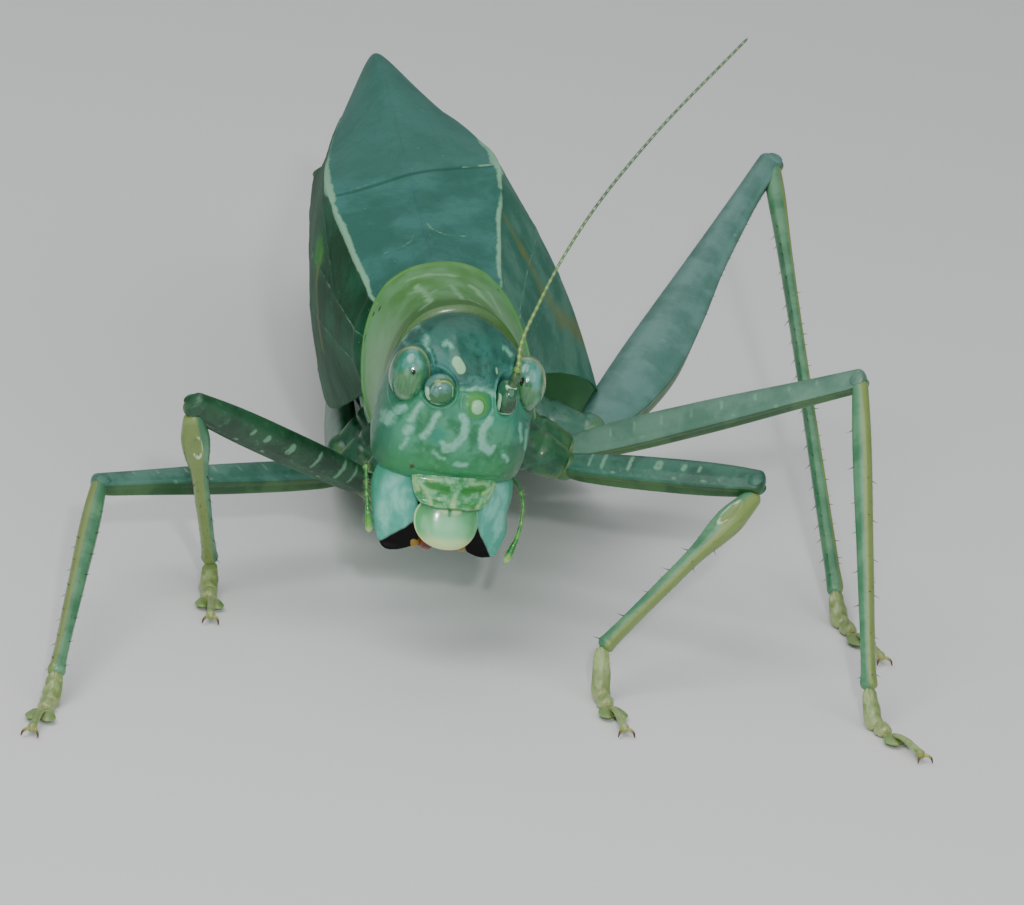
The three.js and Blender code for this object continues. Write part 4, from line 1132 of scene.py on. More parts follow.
# The short egg layer: two flat blades side by side, curved up, with fine teeth near the tip.
def buildTail():
    skin = trunkFinish()
    blades = Surface()
    line = path([[0, 33.3, -7.6], [0, 34.6, -7.65], [0, 36, -7.4], [0, 37.2, -6.85], [0, 38, -6.25]], 90)
    t = np.linspace(0, 1, 90)
    deep = through([[0, 0.62], [0.3, 0.72], [0.6, 0.6], [0.85, 0.38], [1, 0.08]], t)
    deep = deep + 0.03 * np.abs(np.mod(t * 60, 1) - 0.5) * step(0.55, 0.7, t)
    for side in (-1, 1):
        moved = line + np.array([side * 0.16, 0, 0])
        grid = tube(moved, deep, 0.17 * deep / 0.62 + 0.02, 28, (0, 0, 1))
        blades.add(fromBody(grid), place=grid, tone=(0.7 * step(0.6, 1, t))[:, None])
    blades.build("ovipositor_blades", [skin], ["ovipositor"])
    for letter, side in (("l", 1), ("r", -1)):
        line = path([[side * 0.7, 33.1, -6.5], [side * 1.1, 34.4, -6.15], [side * 1.3, 35.6, -5.9]], 40)
        radius = through([[0, 0.3], [0.5, 0.27], [0.85, 0.17], [1, 0.03]], np.linspace(0, 1, 40))
        grid = tube(line, radius, radius, 18)
        cercus = Surface()
        cercus.add(fromBody(grid), place=grid)
        cercus.build(f"cercus_{letter}_horn", [skin], [f"cercus_{letter}"])


# The wing covers, as heights and half widths along the body.
wing = {
    "rows": 290, "columns": 130, "backColumns": 49, "dorsalShare": 0.34,
    "front": 5.9, "frontSlant": 1.65, "end": 50.5, "thickness": 0.24, "ridgeRounding": 0.16,
    "ridgeHeight": [
        [6.75, 0.2], [10, 0.8], [15, 2.15], [21, 3.9], [26.5, 5.0], [34, 2.6], [42, -0.5], [50.5, -4.0]
    ],
    "shoulderHeight": [
        [6.75, -0.8], [10, 0.45], [15, 2.05], [20, 2.3], [26.5, 2.3], [34, 0.3], [42, -2.2], [50.5, -4.5],
    ],
    "shoulderOut": {
        "l": [
            [6.75, 2.65], [10, 3.05], [15, 3.75], [20, 3.35], [26.5, 2.4], [34, 1.9], [42, 1.5], [50.5, 0.8]
        ],
        "r": [
            [6.75, 2.65], [10, 3.05], [15, 3.45], [20, 2.85], [26.5, 1.85], [34, 1.6], [42, 1.4], [50.5, 0.8]
        ],
    },
    "marginOut": {
        "l": [
            [6.75, 3.3], [10, 4.9], [15, 7.1], [19, 7.5], [24, 7.0], [30, 5.6], [36, 3.9], [44, 2.1],
            [50.5, 1.0]
        ],
        "r": [[6.75, 3.1], [10, 3.7], [15, 4.1], [20, 4.0], [27, 3.7], [36, 2.9], [44, 1.9], [50.5, 1.0]],
    },
    "marginHeight": {
        "l": [
            [6.75, -4.9], [11, -6.0], [14, -7.3], [16, -8.5], [18, -9.9], [22, -12.0], [28, -12.3],
            [36, -10.6], [44, -8.0], [50.5, -5.3],
        ],
        "r": [
            [6.75, -4.9], [11, -6.4], [15, -7.4], [20, -7.9], [28, -7.9], [36, -8.1], [44, -7.2],
            [50.5, -5.3]
        ],
    },
    "bulge": {"l": 0.5, "r": 0.7},
    # half width of the light shoulder vein along the body
    "shoulderVein": {
        "l": [
            [6, 0.05], [8.5, 0.09], [12, 0.10], [14.6, 0.13], [15.4, 0.32], [16.1, 0.24], [17.5, 0.12],
            [18.6, 0.14], [20, 0.04], [26, 0.02]
        ],
        "r": [
            [6, 0.07], [9, 0.14], [12, 0.17], [14.2, 0.17], [15.0, 0.27], [16.2, 0.17], [19, 0.05],
            [26, 0.02]
        ],
    },
}
wingVeins = {
    # half width, then places back along the body and across from the shoulder line
    "side": [
        [0.05, (5, 1.4), (12, 2.6), (22, 4.2), (34, 4.4), (44, 2.4), (50, 0.7)],
        [0.04, (6, 3.0), (12, 4.6), (20, 6.6), (28, 8.2)], [0.04, (14, 2.9), (24, 5.8), (34, 7.6)],
        [0.04, (22, 4.2), (32, 6.6), (40, 6.6)], [0.04, (30, 4.6), (38, 6.0), (44, 5.0)],
        [0.03, (10, 2.3), (14, 0.9), (18, 0.1)], [0.03, (17, 3.5), (22, 1.6), (27, 0.1)],
        [0.03, (26, 4.4), (31, 2.2), (35, 0.1)], [0.03, (34, 4.4), (39, 2.4), (42, 0.1)],
        [0.03, (18, 6.1), (22, 9.2), (26, 12.2)], [0.03, (24, 7.2), (29, 10.4), (33, 12.6)],
        [0.03, (31, 7.6), (36, 9.6), (40, 10.0)],
    ],
    # the same on the back of each cover, as places sideways and back
    "backL": [
        [0.035, (0.22, 10.66), (0.31, 10.11), (0.81, 9.55), (1.32, 9.44), (1.80, 9.58)],
        [0.02, (0.9, 9.5), (1.25, 9.0)],
        [0.11, (3.6, 15.3), (3.0, 15.24)], [0.06, (3.0, 15.24), (2.3, 15.2)], [0.02, (3.0, 20), (0.3, 22)],
        [0.02, (2.2, 26), (0.2, 28)],
    ],
    "backR": [
        [0.035, (-0.44, 9.68), (-0.62, 9.19), (-1.03, 8.90), (-1.45, 8.82), (-1.78, 8.86)],
        [0.02, (-1.5, 8.0), (-0.9, 7.6)],
        [0.03, (-1.0, 14.85), (-1.83, 14.46), (-2.81, 13.9), (-3.2, 13.7)], [0.02, (-2.6, 20), (-0.3, 22)],
        [0.02, (-1.7, 26), (-0.2, 28)],
    ],
}


def wingFinish():
    skin = Finish("wingSkin", gloss=0.55, coat=0.0, glow=0.40, bumpDepth=0.00003)
    skin.shader.inputs["Subsurface Scale"].default_value = 0.0012
    skin.shader.inputs["Specular IOR Level"].default_value = 0.12
    place = skin.field("place")  # the body's own frame, in millimetres
    x, y, z = skin.axes(place)
    zone = skin.field("tone")  # 0 on the back, 1 on the left side, 2 on the right one, 3 its brown band
    cloud, fine, wide = skin.noise(place, 0.45, 3), skin.noise(place, 2.2, 4, 0.6), skin.noise(place, 0.16, 2)
    net, small = skin.cells(place, 1.1), skin.cells(place, 4.2)
    back = skin.patches((60, 94, 86), (76, 112, 106), cloud, fine, 0.3, 0.36, 0.66)
    back = skin.mix(back, (76, 108, 100), skin.step(y + cloud, 15.1, 16.4) * 0.5)
    # painted shade: a faint dark line where the covers fold across
    seam = y - 15.15 + skin.step(x, 1.2, -3.6) * 1.35  # a faint fold across both covers
    back = skin.mix(back, (34, 68, 58), skin.step(seam * seam, 0.030, 0.0) * 0.6)
    left = skin.patches((60, 96, 84), (84, 116, 104), cloud, fine, 0.3, 0.38, 0.64)
    # painted shade: the right side is a darker copy of the left, as the side turned from the light
    right = skin.patches((22, 54, 34), (40, 78, 58), cloud, fine, 0.3, 0.36, 0.68)
    base = skin.mix(back, left, skin.step(zone, 0.2, 0.8))
    base = skin.mix(base, right, skin.step(zone, 1.2, 1.8))
    base = skin.mix(base, (36, 78, 64), skin.step(net, 0.05, 0.0) * 0.15)
    base = skin.mix(base, (80, 124, 106), skin.step(small, 0.04, 0.0) * 0.10)
    brown = skin.step(skin.field("dark") + (cloud - 0.5) * 1.2 + (fine - 0.5) * 0.5, 0.35, -0.25)
    base = skin.mix(base, (104, 108, 70), brown * 0.55)
    # a few brighter green spots on the right side
    spotY, spotZ = y - 13.8, z + 0.5
    spot = (
        skin.step(spotY * spotY * 0.5 + spotZ * spotZ + (fine - 0.5) * 1.4, 0.8, 0.1)
        * skin.step(zone, 1.2, 1.8)
    )
    base = skin.mix(base, (62, 122, 62), spot * 0.6)
    base = skin.mix(
        base, (60, 112, 66),
        skin.step(wide + (fine - 0.5) * 0.5, 0.66, 0.80) * skin.step(zone, 1.2, 1.8) * 0.3
    )
    edge = skin.field("pale") + (fine - 0.5) * 0.20
    base = skin.mix(base, (132, 166, 144), skin.step(edge, 0.06, -0.06) * 0.9)
    # painted light: the inner sheet (zone 4) is made pale so it does not look dark in its shade
    base = skin.mix(base, (136, 172, 146), skin.step(zone, 3.2, 3.8))  # the underside
    specks = skin.step(skin.cells(place, 1.6, "F1"), 0.055, 0.03)
    base = skin.mix(base, (140, 176, 150), specks * 0.5)
    bump = net * 0.25 + small * 0.2 + fine * 0.3
    return skin.paint(base, bump=bump)


# A cover from its ridge (v 0) over the shoulder line to its lower margin (v 1). The back is flat to near
# the ridge, where it rounds over, and the side is bowed.
def wingSheet(letter):
    side = 1 if letter == "l" else -1
    share = wing["dorsalShare"]
    backColumns = wing["backColumns"]
    back = np.append([0, 0.0006], np.linspace(0, share, backColumns)[1:])
    v = np.concatenate([back, np.linspace(share, 1, wing["columns"] - backColumns)[1:]])[None]
    u = np.linspace(0, 1, wing["rows"])[:, None]
    slant = wing["frontSlant"] * v ** 1.5
    front = wing["front"] - slant
    y = front + (wing["end"] - front) * u
    shoulder = through(wing["shoulderOut"][letter], y), through(wing["shoulderHeight"], y)
    ridge = 0.0, through(wing["ridgeHeight"], y)
    margin = through(wing["marginOut"][letter], y), through(wing["marginHeight"][letter], y)
    t = np.clip(v / share, 0, 1)
    soft = wing["ridgeRounding"]
    fall = (np.sqrt(t * t + soft * soft) - soft) / (np.sqrt(1 + soft * soft) - soft)
    s = np.clip((v - share) / (1 - share), 0, 1)
    bow = wing["bulge"][letter] * np.sin(np.pi * s)
    x = np.where(
        v < share, ridge[0] + (shoulder[0] - ridge[0]) * t, shoulder[0] + (margin[0] - shoulder[0]) * s + bow
    )
    z = np.where(
        v < share, ridge[1] + (shoulder[1] - ridge[1]) * fall, shoulder[1] + (margin[1] - shoulder[1]) * s
    )
    # the front edge tucks in under the collar
    tuck = step(wing["front"] + 1.0 - slant, front, y)
    x, z = x * (1 - 0.09 * tuck), z - 0.25 * tuck * (1 - s)
    return side, np.stack([side * x, y, z], -1), u + 0 * v, v + 0 * u


# Distances across from the shoulder line, along the sheet: below it positive, above it negative.
def acrossFromShoulder(sheet):
    steps = np.linalg.norm(np.diff(sheet, axis=1), axis=2)
    reach = np.concatenate([np.zeros((len(sheet), 1)), np.cumsum(steps, axis=1)], axis=1)
    shoulder = wing["backColumns"]
    return reach - reach[:, shoulder:shoulder + 1]


def buildWings():
    finish = wingFinish()
    for letter in ("l", "r"):
        side, sheet, u, v = wingSheet(letter)
        across = acrossFromShoulder(sheet)
        x, y = sheet[..., 0], sheet[..., 1]
        onBack = across < 0
        wander = 0.06 * ripple(y, across, 1.6, 21) + 0.015 * ripple(y, across, 0.5, 22)
        sideVeins = toStrokes(y, across, wingVeins["side"])
        backVeins = toStrokes(
            x + 0.05 * ripple(x, y, 0.7, 23), y, wingVeins["backL" if letter == "l" else "backR"]
        )
        veins = np.where(onBack, backVeins, sideVeins)
        width = through(wing["shoulderVein"][letter], y)
        gap = 0.08 * hill(y, 12.9 if letter == "l" else 13.2, 0.15)
        shoulderLine = np.abs(across + 2 * wander) - width + gap
        normals = gridNormals(sheet)
        outward = np.sign((normals[..., 0] * side).mean())
        normals = normals * outward
        below = step(0.3, 1.0, across)
        cross = hill(np.mod(y * 0.8 + across * 0.55, 1.9), 0.95, 0.08) * below
        rise = 0.025 * hill(veins, -0.05, 0.14) + 0.05 * hill(across, 0, 0.16) + 0.010 * cross
        rise += 0.03 * ripple(y, across, 5.0, 24) * step(0.3, 1.5, np.abs(across))
        edge = np.minimum(np.minimum(u, 1 - u) * 44, (1 - v) * 14)
        rise += 0.04 * hill(edge, 0.1, 0.12)
        rise *= step(0.0, 0.5, np.abs(x))
        sheet = sheet + normals * rise[..., None]
        taper = np.clip(edge / 0.4, 0.15, 1) ** 0.5
        shell = plate(sheet, outward * wing["thickness"] * taper)
        inner = shell[:, sheet.shape[1]:]
        inner[..., 0] = side * np.maximum(side * inner[..., 0], 0.0)
        # light marks: the shoulder line, and more faintly the veins
        pale = np.minimum(shoulderLine, np.where(onBack, veins + 0.03, veins + 0.05))
        if letter == "l":  # a band of orange brown that widens towards the rear
            band = toStrokes(y, across, [
                [0.08, (11.6, 0.5), (11.2, 1.8)], [0.16, (11.2, 1.8), (10.95, 3.6)],
                [0.26, (10.95, 3.6), (11.8, 5.5)], [0.40, (11.8, 5.5), (14.2, 7.8), (17, 9.9)],
            ]) * 1.2
        else:
            band = toStrokes(y, across, [[0.16, (13.2, 2.3), (13.6, 3.6), (13.0, 4.7), (12.6, 6.0)]]) * 1.4
        zone = step(-0.05, 0.05, across) * (1 if letter == "l" else 2)
        cover = Surface()
        fields = {"place": sheet, "pale": pale, "dark": np.where(onBack, 9, band), "tone": zone}
        fields = {name: twice(value) for name, value in fields.items()}
        # the inner sheet takes zone 4, which the finish paints pale as painted light
        fields["tone"][:, sheet.shape[1]:] = 4
        cover.add(fromBody(shell), ends="strip", **fields)
        cover.build(f"tegmen_{letter}_cover", [finish], [f"tegmen_{letter}"])


# The folded hind wing: an upright leaf with fine pleats along it. Its tip stands out behind the covers.
def buildHindWings():
    finish = wingFinish()
    for letter, side in (("l", 1), ("r", -1)):
        t = np.linspace(0, 1, 120)[:, None]
        s = np.linspace(0, 1, 40)[None]
        y = 39 + 15.5 * t
        top = through([[39, -4.4], [47.4, -4.85], [54.5, -5.7]], y)
        low = through([[39, -7.4], [47.4, -6.85], [54.5, -5.7]], y)
        z = top + (low - top) * s
        pleat = 0.06 * np.sin(2 * np.pi * 5 * s) * (1 - t ** 4)
        outer = np.stack([side * (0.42 + pleat) + 0 * z, y + 0 * s, z], -1)
        inner = np.stack([side * 0.06 + 0 * z, y + 0 * s, z], -1)
        shell = np.concatenate([outer, inner[:, ::-1]], axis=1)
        leaf = Surface()
        leaf.add(fromBody(shell), ends="strip", place=shell, tone=1)
        leaf.build(f"hind_wing_{letter}_leaf", [finish], [f"hind_wing_{letter}"])


# Six legs, each a hip joint, thigh, shin and foot.
# name, kind, hip in the body's frame, knee, ankle and claws above the floor, and what the depth turns to
legs = [
    ("fore_l", "fore", (4.3, 3.4, -7.9), (12.45, -1.0, 7.8), (6.3, -5.7, 1.9), (6.9, -10.9), None),
    ("fore_r", "fore", (-3.5, 3.4, -7.9), (-10.3, -1.7, 9.3), (-8.4, 4.0, 1.1), (-8.6, -0.8), None),
    ("mid_l", "mid", (5.0, 8.6, -8.6), (16.7, 2.9, 11.3), (16.9, -6.6, 1.4), (18.6, -11.2), None),
    ("mid_r", "mid", (-4.2, 8.6, -8.6), (-13.4, 1.4, 4.8), (-15.3, -11.6, 1.1), (-16.4, -16.3), None),
    ("hind_l", "hind", (6.3, 12.8, -9.0), (17.3, 33.6, 12.5), (17.6, 6.6, 1.2), (18.9, 0.8), None),
    ("hind_r", "hind", (-3.8, 12.8, -8.8), (-0.8, 36.6, 2.0), (2.2, 63.2, 1.2), (3.0, 69.2), (-1.6, 26, -5)),
]
legShape = {
    "coxa": {"depth": [[0, 1.05], [0.6, 0.95], [1, 0.62]], "width": [[0, 1.05], [0.6, 0.95], [1, 0.62]]},
    "femur": {
        "fore": {
            "depth": [[0, 0.5], [0.12, 0.62], [0.5, 0.74], [0.85, 0.68], [1, 0.54]],
            "width": [[0, 0.42], [0.5, 0.50], [1, 0.40]],
        },
        "mid": {
            "depth": [[0, 0.55], [0.15, 0.70], [0.45, 0.70], [0.85, 0.52], [1, 0.48]],
            "width": [[0, 0.42], [0.5, 0.50], [1, 0.40]],
        },
        "hind": {
            "depth": [
                [0, 0.75], [0.1, 1.12], [0.25, 1.34], [0.42, 1.17], [0.6, 0.86], [0.75, 0.68], [0.9, 0.56],
                [1, 0.60],
            ],
            "width": [[0, 0.5], [0.28, 0.72], [0.6, 0.54], [0.9, 0.40], [1, 0.44]],
            "belly": 0.8,
        },
    },
    "tibia": {
        "fore": {
            "depth": [
                [0, 0.36], [0.07, 0.50], [0.16, 0.62], [0.26, 0.56], [0.37, 0.40], [0.6, 0.34], [0.92, 0.33],
                [1, 0.37]
            ],
            "width": [[0, 0.34], [0.18, 0.48], [0.34, 0.35], [1, 0.32]],
        },
        "mid": {
            "depth": [[0, 0.34], [0.1, 0.40], [0.6, 0.36], [0.95, 0.33], [1, 0.36]],
            "width": [[0, 0.34], [0.5, 0.34], [1, 0.32]],
        },
        "hind": {
            "depth": [[0, 0.40], [0.06, 0.46], [0.2, 0.35], [1, 0.33]],
            "width": [[0, 0.36], [0.5, 0.33], [1, 0.32]],
        },
    },
    "drop": {"fore": 0.7, "mid": 0.0, "hind": 0.0},
}
# painted light and shade: each thigh's pair is set leg by leg, paler on the lit legs and darker on those in
# shade
legShadeTint = {  # the darker and the lighter green of each thigh
    "fore_l": ((38, 74, 60), (56, 94, 80)), "fore_r": ((24, 52, 36), (40, 74, 52)),
    "mid_l": ((84, 114, 100), (102, 130, 116)), "mid_r": ((62, 96, 84), (86, 118, 108)),
    "hind_l": ((80, 112, 104), (98, 128, 122)), "hind_r": ((38, 78, 62), (58, 100, 84)),
}
legMarks = {  # how far up the thigh its light bars sit, and how much wider the shin's olive edge is
    "barLift": {"fore_r": 0.26}, "usualLift": 0.10,
    "oliveWide": {"fore_r": 0.75}, "usualWide": 0.1,
}
legSpines = {  # on each row along the shin's edge towards the body and away from it, and the finer hair
    "inner": {"fore": 5, "mid": 8, "hind": 20}, "outer": {"fore": 2, "mid": 6, "hind": 20},
    "shinHair": 160, "thighHair": 60,
}
ear = {"along": 1.60, "halfLong": 0.66, "halfWide": 0.19}  # the oval window on the fore shin
femurMarks = {
    # share of the length, half thickness and half reach of each light bar
    "fore": [
        (0.14, 0.055, 0.30), (0.205, 0.075, 0.34), (0.335, 0.075, 0.32), (0.475, 0.15, 0.12),
        (0.60, 0.11, 0.09), (0.675, 0.075, 0.10),
    ],
    "mid": [
        (0.16, 0.035, 0.16), (0.24, 0.04, 0.18), (0.33, 0.05, 0.18), (0.43, 0.06, 0.16), (0.53, 0.07, 0.13),
        (0.64, 0.07, 0.10), (0.75, 0.06, 0.08), (0.84, 0.05, 0.06),
    ],
    "hind": [(0.22, 0.05, 0.10), (0.30, 0.05, 0.10)],
}


# A limb piece from one place to another, starting and ending so far beyond them, with round ends. Its
# depth lies in the plane that holds the third place, and keels(angle, share) shapes its section.
def limb(start, end, plane, shape, starts, ends, rows, columns, keels):
    way = unit(end - start)
    side = unit(np.cross(way, plane - start))
    deep = np.cross(side, way)
    length = np.linalg.norm(end - start) + ends - starts
    share, full = roundedShares(rows, 0.3, length)
    distance = starts + share * length
    angle = np.linspace(0, 2 * np.pi, columns, endpoint=False)[None]
    depth, width = through(shape["depth"], share), through(shape["width"], share)
    offset = shape.get("belly", 0) * (depth - shape["depth"][-1][1])
    grow = keels(angle, share[:, None]) * full[:, None]
    x, z = width[:, None] * np.cos(angle) * grow, depth[:, None] * np.sin(angle) * grow
    middle = start + distance[:, None] * way + offset[:, None] * deep
    grid = middle[:, None] + x[..., None] * side + z[..., None] * deep
    place = np.stack([distance[:, None] + 0 * x, x, z], -1)
    return {
        "grid": grid, "place": place, "share": share[:, None] + 0 * x, "middle": middle,
        "way": way, "side": side, "deep": deep, "length": length, "height": np.sin(angle) + 0 * x,
    }


def femurKeels(angle, share):
    flat = 1 - 0.10 * np.abs(np.cos(angle)) ** 6
    keel = 0.12 * (hill(angle, 0.95, 0.14) + hill(angle, np.pi - 0.95, 0.14))
    groove = 0.16 * hill(angle, np.pi / 2, 0.30)
    ledge = 0.05 * (hill(angle, 0.55, 0.12) + hill(angle, np.pi - 0.55, 0.12))
    back = 0.03 * hill(angle, 1.5 * np.pi, 0.3)
    return flat + (keel - groove - ledge + back) * step(0.02, 0.12, share) * step(1.0, 0.93, share)


def tibiaKeels(angle, share):
    ridge = sum(hill(angle, place, 0.2) for place in (0.7, np.pi - 0.7, np.pi + 0.8, 2 * np.pi - 0.8))
    flare = 0.10 * hill(share, 0.985, 0.02)
    return 0.93 + 0.1 * ridge * step(0.05, 0.2, share) + flare


def coxaKeels(angle, share):
    fold = 0.09 * hill(share, 0.58, 0.04) + 0.05 * hill(share, 0.34, 0.03) + 0.06 * hill(angle, 1.2, 0.2)
    return 1 - fold + 0.05 * ripple(angle * 1.5, share * 4, 2.6, 31)


def legFinish(name, low, high):
    skin = Finish(f"legSkin_{name}", gloss=0.42, coat=0.12, glow=0.10)
    place = skin.field("place")  # along, across and through the leg, in millimetres
    cloud, fine, tiny = skin.noise(place, 0.8, 3), skin.noise(place, 3.6, 4, 0.6), skin.noise(place, 12, 2)
    base = skin.patches(low, high, cloud, fine, 0.3, 0.36, 0.64)
    base = skin.mix(base, (86, 128, 108), skin.step(fine, 0.58, 0.72) * 0.3)
    olive = skin.mark("tone", fine, 0.3, 0.35, 0.65)
    base = skin.mix(base, skin.mix((38, 72, 38), (62, 92, 52), skin.step(cloud, 0.4, 0.6)), olive * 0.85)
    base = skin.mix(base, (122, 158, 134), skin.mark("pale", fine, 0.14, 0.05, -0.05) * 0.65)
    base = skin.mix(base, (26, 52, 26), skin.mark("dark", fine, 0.1, 0.05, -0.05) * 0.75)
    grain = skin.cells(place, 9, "F1")
    return skin.paint(base, bump=fine * 0.6 + grain * 0.3 + tiny * 0.2)


def shinFinish():
    skin = Finish("shinSkin", gloss=0.40, coat=0.18, glow=0.12)
    place = skin.field("place")
    cloud, fine = skin.noise(place, 0.7, 3), skin.noise(place, 3.6, 4, 0.6)
    base = skin.patches((72, 112, 86), (98, 136, 108), cloud, fine, 0.3, 0.36, 0.64)
    olive = skin.mark("tone", fine, 0.3, 0.35, 0.65)
    base = skin.mix(base, (124, 134, 84), olive * 0.75)
    base = skin.mix(base, (206, 216, 192), skin.step(skin.field("pale"), 0.025, -0.015) * 0.9)
    base = skin.mix(base, (74, 70, 34), skin.step(skin.field("dark"), 0.02, -0.02) * 0.8)
    return skin.paint(base, bump=fine * 0.6 + cloud * 0.2)


def coxaFinish(name, low, high):
    skin = Finish(f"coxaSkin_{name}", gloss=0.36, coat=0.15, glow=0.10)
    place = skin.field("place")
    cloud, fine = skin.noise(place, 0.9, 3), skin.noise(place, 3.0, 4, 0.6)
    base = skin.patches(low, high, cloud, fine, 0.4, 0.38, 0.62)
    base = skin.mix(base, (52, 92, 78), skin.step(fine, 0.52, 0.66) * 0.6)
    olive = skin.mark("tone", cloud, 1.6, 0.75, 1.1)
    base = skin.mix(base, (84, 106, 54), olive * 0.5)
    return skin.paint(base, bump=cloud * 0.5 + fine * 0.6)


def thinSpikes(surface, part, shares, angles, length, lean, thick, random):
    rows = np.clip(np.searchsorted(part["share"][:, 0], shares), 1, len(part["grid"]) - 2)
    columns = (np.asarray(angles) / (2 * np.pi) * part["grid"].shape[1]).astype(int) % part["grid"].shape[1]
    roots = part["grid"][rows, columns]
    out = unit(roots - part["middle"][rows])
    size = np.asarray(length) * random.uniform(0.8, 1.2, len(rows))
    tips = roots + (out * 0.8 + part["way"] * lean) * size[:, None]
    roots = roots - out * 0.04
    surface.add(spikes(roots, tips, size * thick, part["way"] * 0.02 + 0 * roots, 6, 6), finish=2, tone=1.0)


# The thigh: light bars on both faces, a pale line with white dashes over its lower keels, and an olive
# underside between them.
def buildThigh(leg, kind, hip, knee, plane, random, lift):
    shape = legShape["femur"][kind]
    thigh = limb(hip, knee, plane, shape, starts=-0.15, ends=0.28, rows=130, columns=48, keels=femurKeels)
    along, _, deep = np.moveaxis(thigh["place"], -1, 0)
    height = thigh["height"]  # -1 on the back of the thigh to 1 underneath
    depth = through(shape["depth"], thigh["share"])
    length = thigh["length"]
    strokes = [[thick, (share * length, -lift - reach), (share * length, -lift + reach)]
               for share, thick, reach in femurMarks[kind]]
    wavy = along + 0.03 * ripple(along, deep, 0.4, 33)
    pale = toStrokes(wavy, deep - (depth - 0.7) * 0.2, strokes)
    line = np.abs(height - 0.66) * depth * 0.8 + 0.012 + 0.05 * step(0.9, 1.0, thigh["share"])
    line = np.minimum(line, np.abs(height + 0.52) * depth + 0.03)
    pale = np.minimum(pale, line)
    dashes = [[0.045, (s * length, 0.62), (s * length + 0.10, 0.62)] for s in (0.26, 0.56, 0.70)]
    pale = np.minimum(pale, toStrokes(along, height * depth / 0.7, dashes))
    hole = [[0.045, (0.475 * length, -0.04), (0.475 * length, -0.08)]] if kind == "fore" else []
    dark = toStrokes(wavy, deep, hole) if hole else np.full(along.shape, 9.0)
    # a dark ring near the hip
    dark = np.minimum(dark, np.abs(thigh["share"] - 0.03) * 8 - 0.06 + (kind != "fore"))
    olive = step(0.74, 0.86, height) * 0.9
    leg.add(thigh["grid"], place=thigh["place"], tone=olive, pale=pale, dark=dark)
    # fine bristles along the back
    count = legSpines["thighHair"]
    angles = np.full(count, 1.5 * np.pi) + random.uniform(-0.3, 0.3, count)
    thinSpikes(
        leg, thigh, np.linspace(0.1, 0.97, count), angles, length=0.07, lean=0.5, thick=0.10, random=random
    )
    if kind == "hind":
        for angle in (0.95, np.pi - 0.95):
            thinSpikes(
                leg, thigh, np.linspace(0.45, 0.94, 9), np.full(9, angle), length=0.14, lean=0.5, thick=0.14,
                random=random
            )
    return thigh


# The shin: an olive edge away from the body with dark dots, a pale middle line, and in the forelegs the
# ear: an oval window on each face, a slit in it, and a white crescent round its lower end.
def buildShin(leg, kind, top, ankle, plane, room, random, wide):
    shape = legShape["tibia"][kind]
    shin = limb(
        top, ankle, plane, shape, starts=0.0, ends=-room + 0.12, rows=160, columns=40, keels=tibiaKeels
    )
    along, across, deep = np.moveaxis(shin["place"], -1, 0)
    depth = through(shape["depth"], shin["share"])
    high = -deep / depth  # 1 on the edge away from the body
    olive = 0.9 * step(0.30 - wide, 0.60 - wide, high)
    pale, dark = np.abs(high - 0.22) * depth + 0.005, np.full(along.shape, 9.0)
    pale = np.where(along > 2.8, pale, 9)
    grid = shin["grid"]
    if kind == "fore":
        middle = ear["along"]
        oval = np.hypot((along - middle) / ear["halfLong"], (deep + 0.02) / ear["halfWide"])
        onFace = np.abs(across) > 0.22
        crescent = np.abs(oval - 1.0) * ear["halfWide"] - 0.018
        crescent = np.maximum(crescent, np.minimum(0.02 - deep, middle + 0.34 - along) * 0.5)
        slit = np.hypot((along - middle) * 0.10, deep - 0.05) - 0.022
        pale = np.where(onFace, np.minimum(pale, crescent), 9)
        dark = np.where(onFace & (oval < 1), slit, 9)
        olive = np.maximum(olive, 0.65 * step(1.0, 0.8, oval))
        olive = np.maximum(olive, 0.8 * step(0.0, 0.3, high) * step(2.8, 2.0, along))
        dip = (
            0.06 * step(1.0, 0.7, oval) - 0.05 * hill(oval, 1.15, 0.12)
            - 0.04 * hill(slit, 0.05, 0.03) * (oval < 0.9)
        )
        grid = grid - np.sign(across)[..., None] * (dip * onFace)[..., None] * shin["side"]
    dots = np.hypot(np.mod(along, 0.55) - 0.27, (high - 0.5) * depth) - 0.035
    dark = np.minimum(dark, np.where(along > 3, dots, 9))
    leg.add(grid, place=shin["place"], tone=olive, pale=pale, dark=dark, finish=1)
    shin["grid"] = grid
    # spines in rows, and fine hair all over
    count = legSpines["inner"][kind]
    for angle in (0.7, np.pi - 0.7):
        shares = (
            np.linspace(0.40 if kind == "fore" else 0.16, 0.96, count) + random.uniform(-0.01, 0.01, count)
        )
        thinSpikes(
            leg, shin, shares, np.full(count, angle), length=0.30, lean=0.5, thick=0.075, random=random
        )
    count = legSpines["outer"][kind]
    last = 0.44 if kind == "fore" else 0.95
    for angle in (np.pi + 0.8, 2 * np.pi - 0.8):
        shares = np.linspace(0.32, last, count) + random.uniform(-0.01, 0.01, count)
        thinSpikes(
            leg, shin, shares, np.full(count, angle), length=0.24, lean=0.5, thick=0.075, random=random
        )
    count = legSpines["shinHair"]
    shares, angles = random.uniform(0.1, 0.97, count), random.uniform(0, 6.28, count)
    thinSpikes(leg, shin, shares, angles, length=0.09, lean=0.9, thick=0.10, random=random)


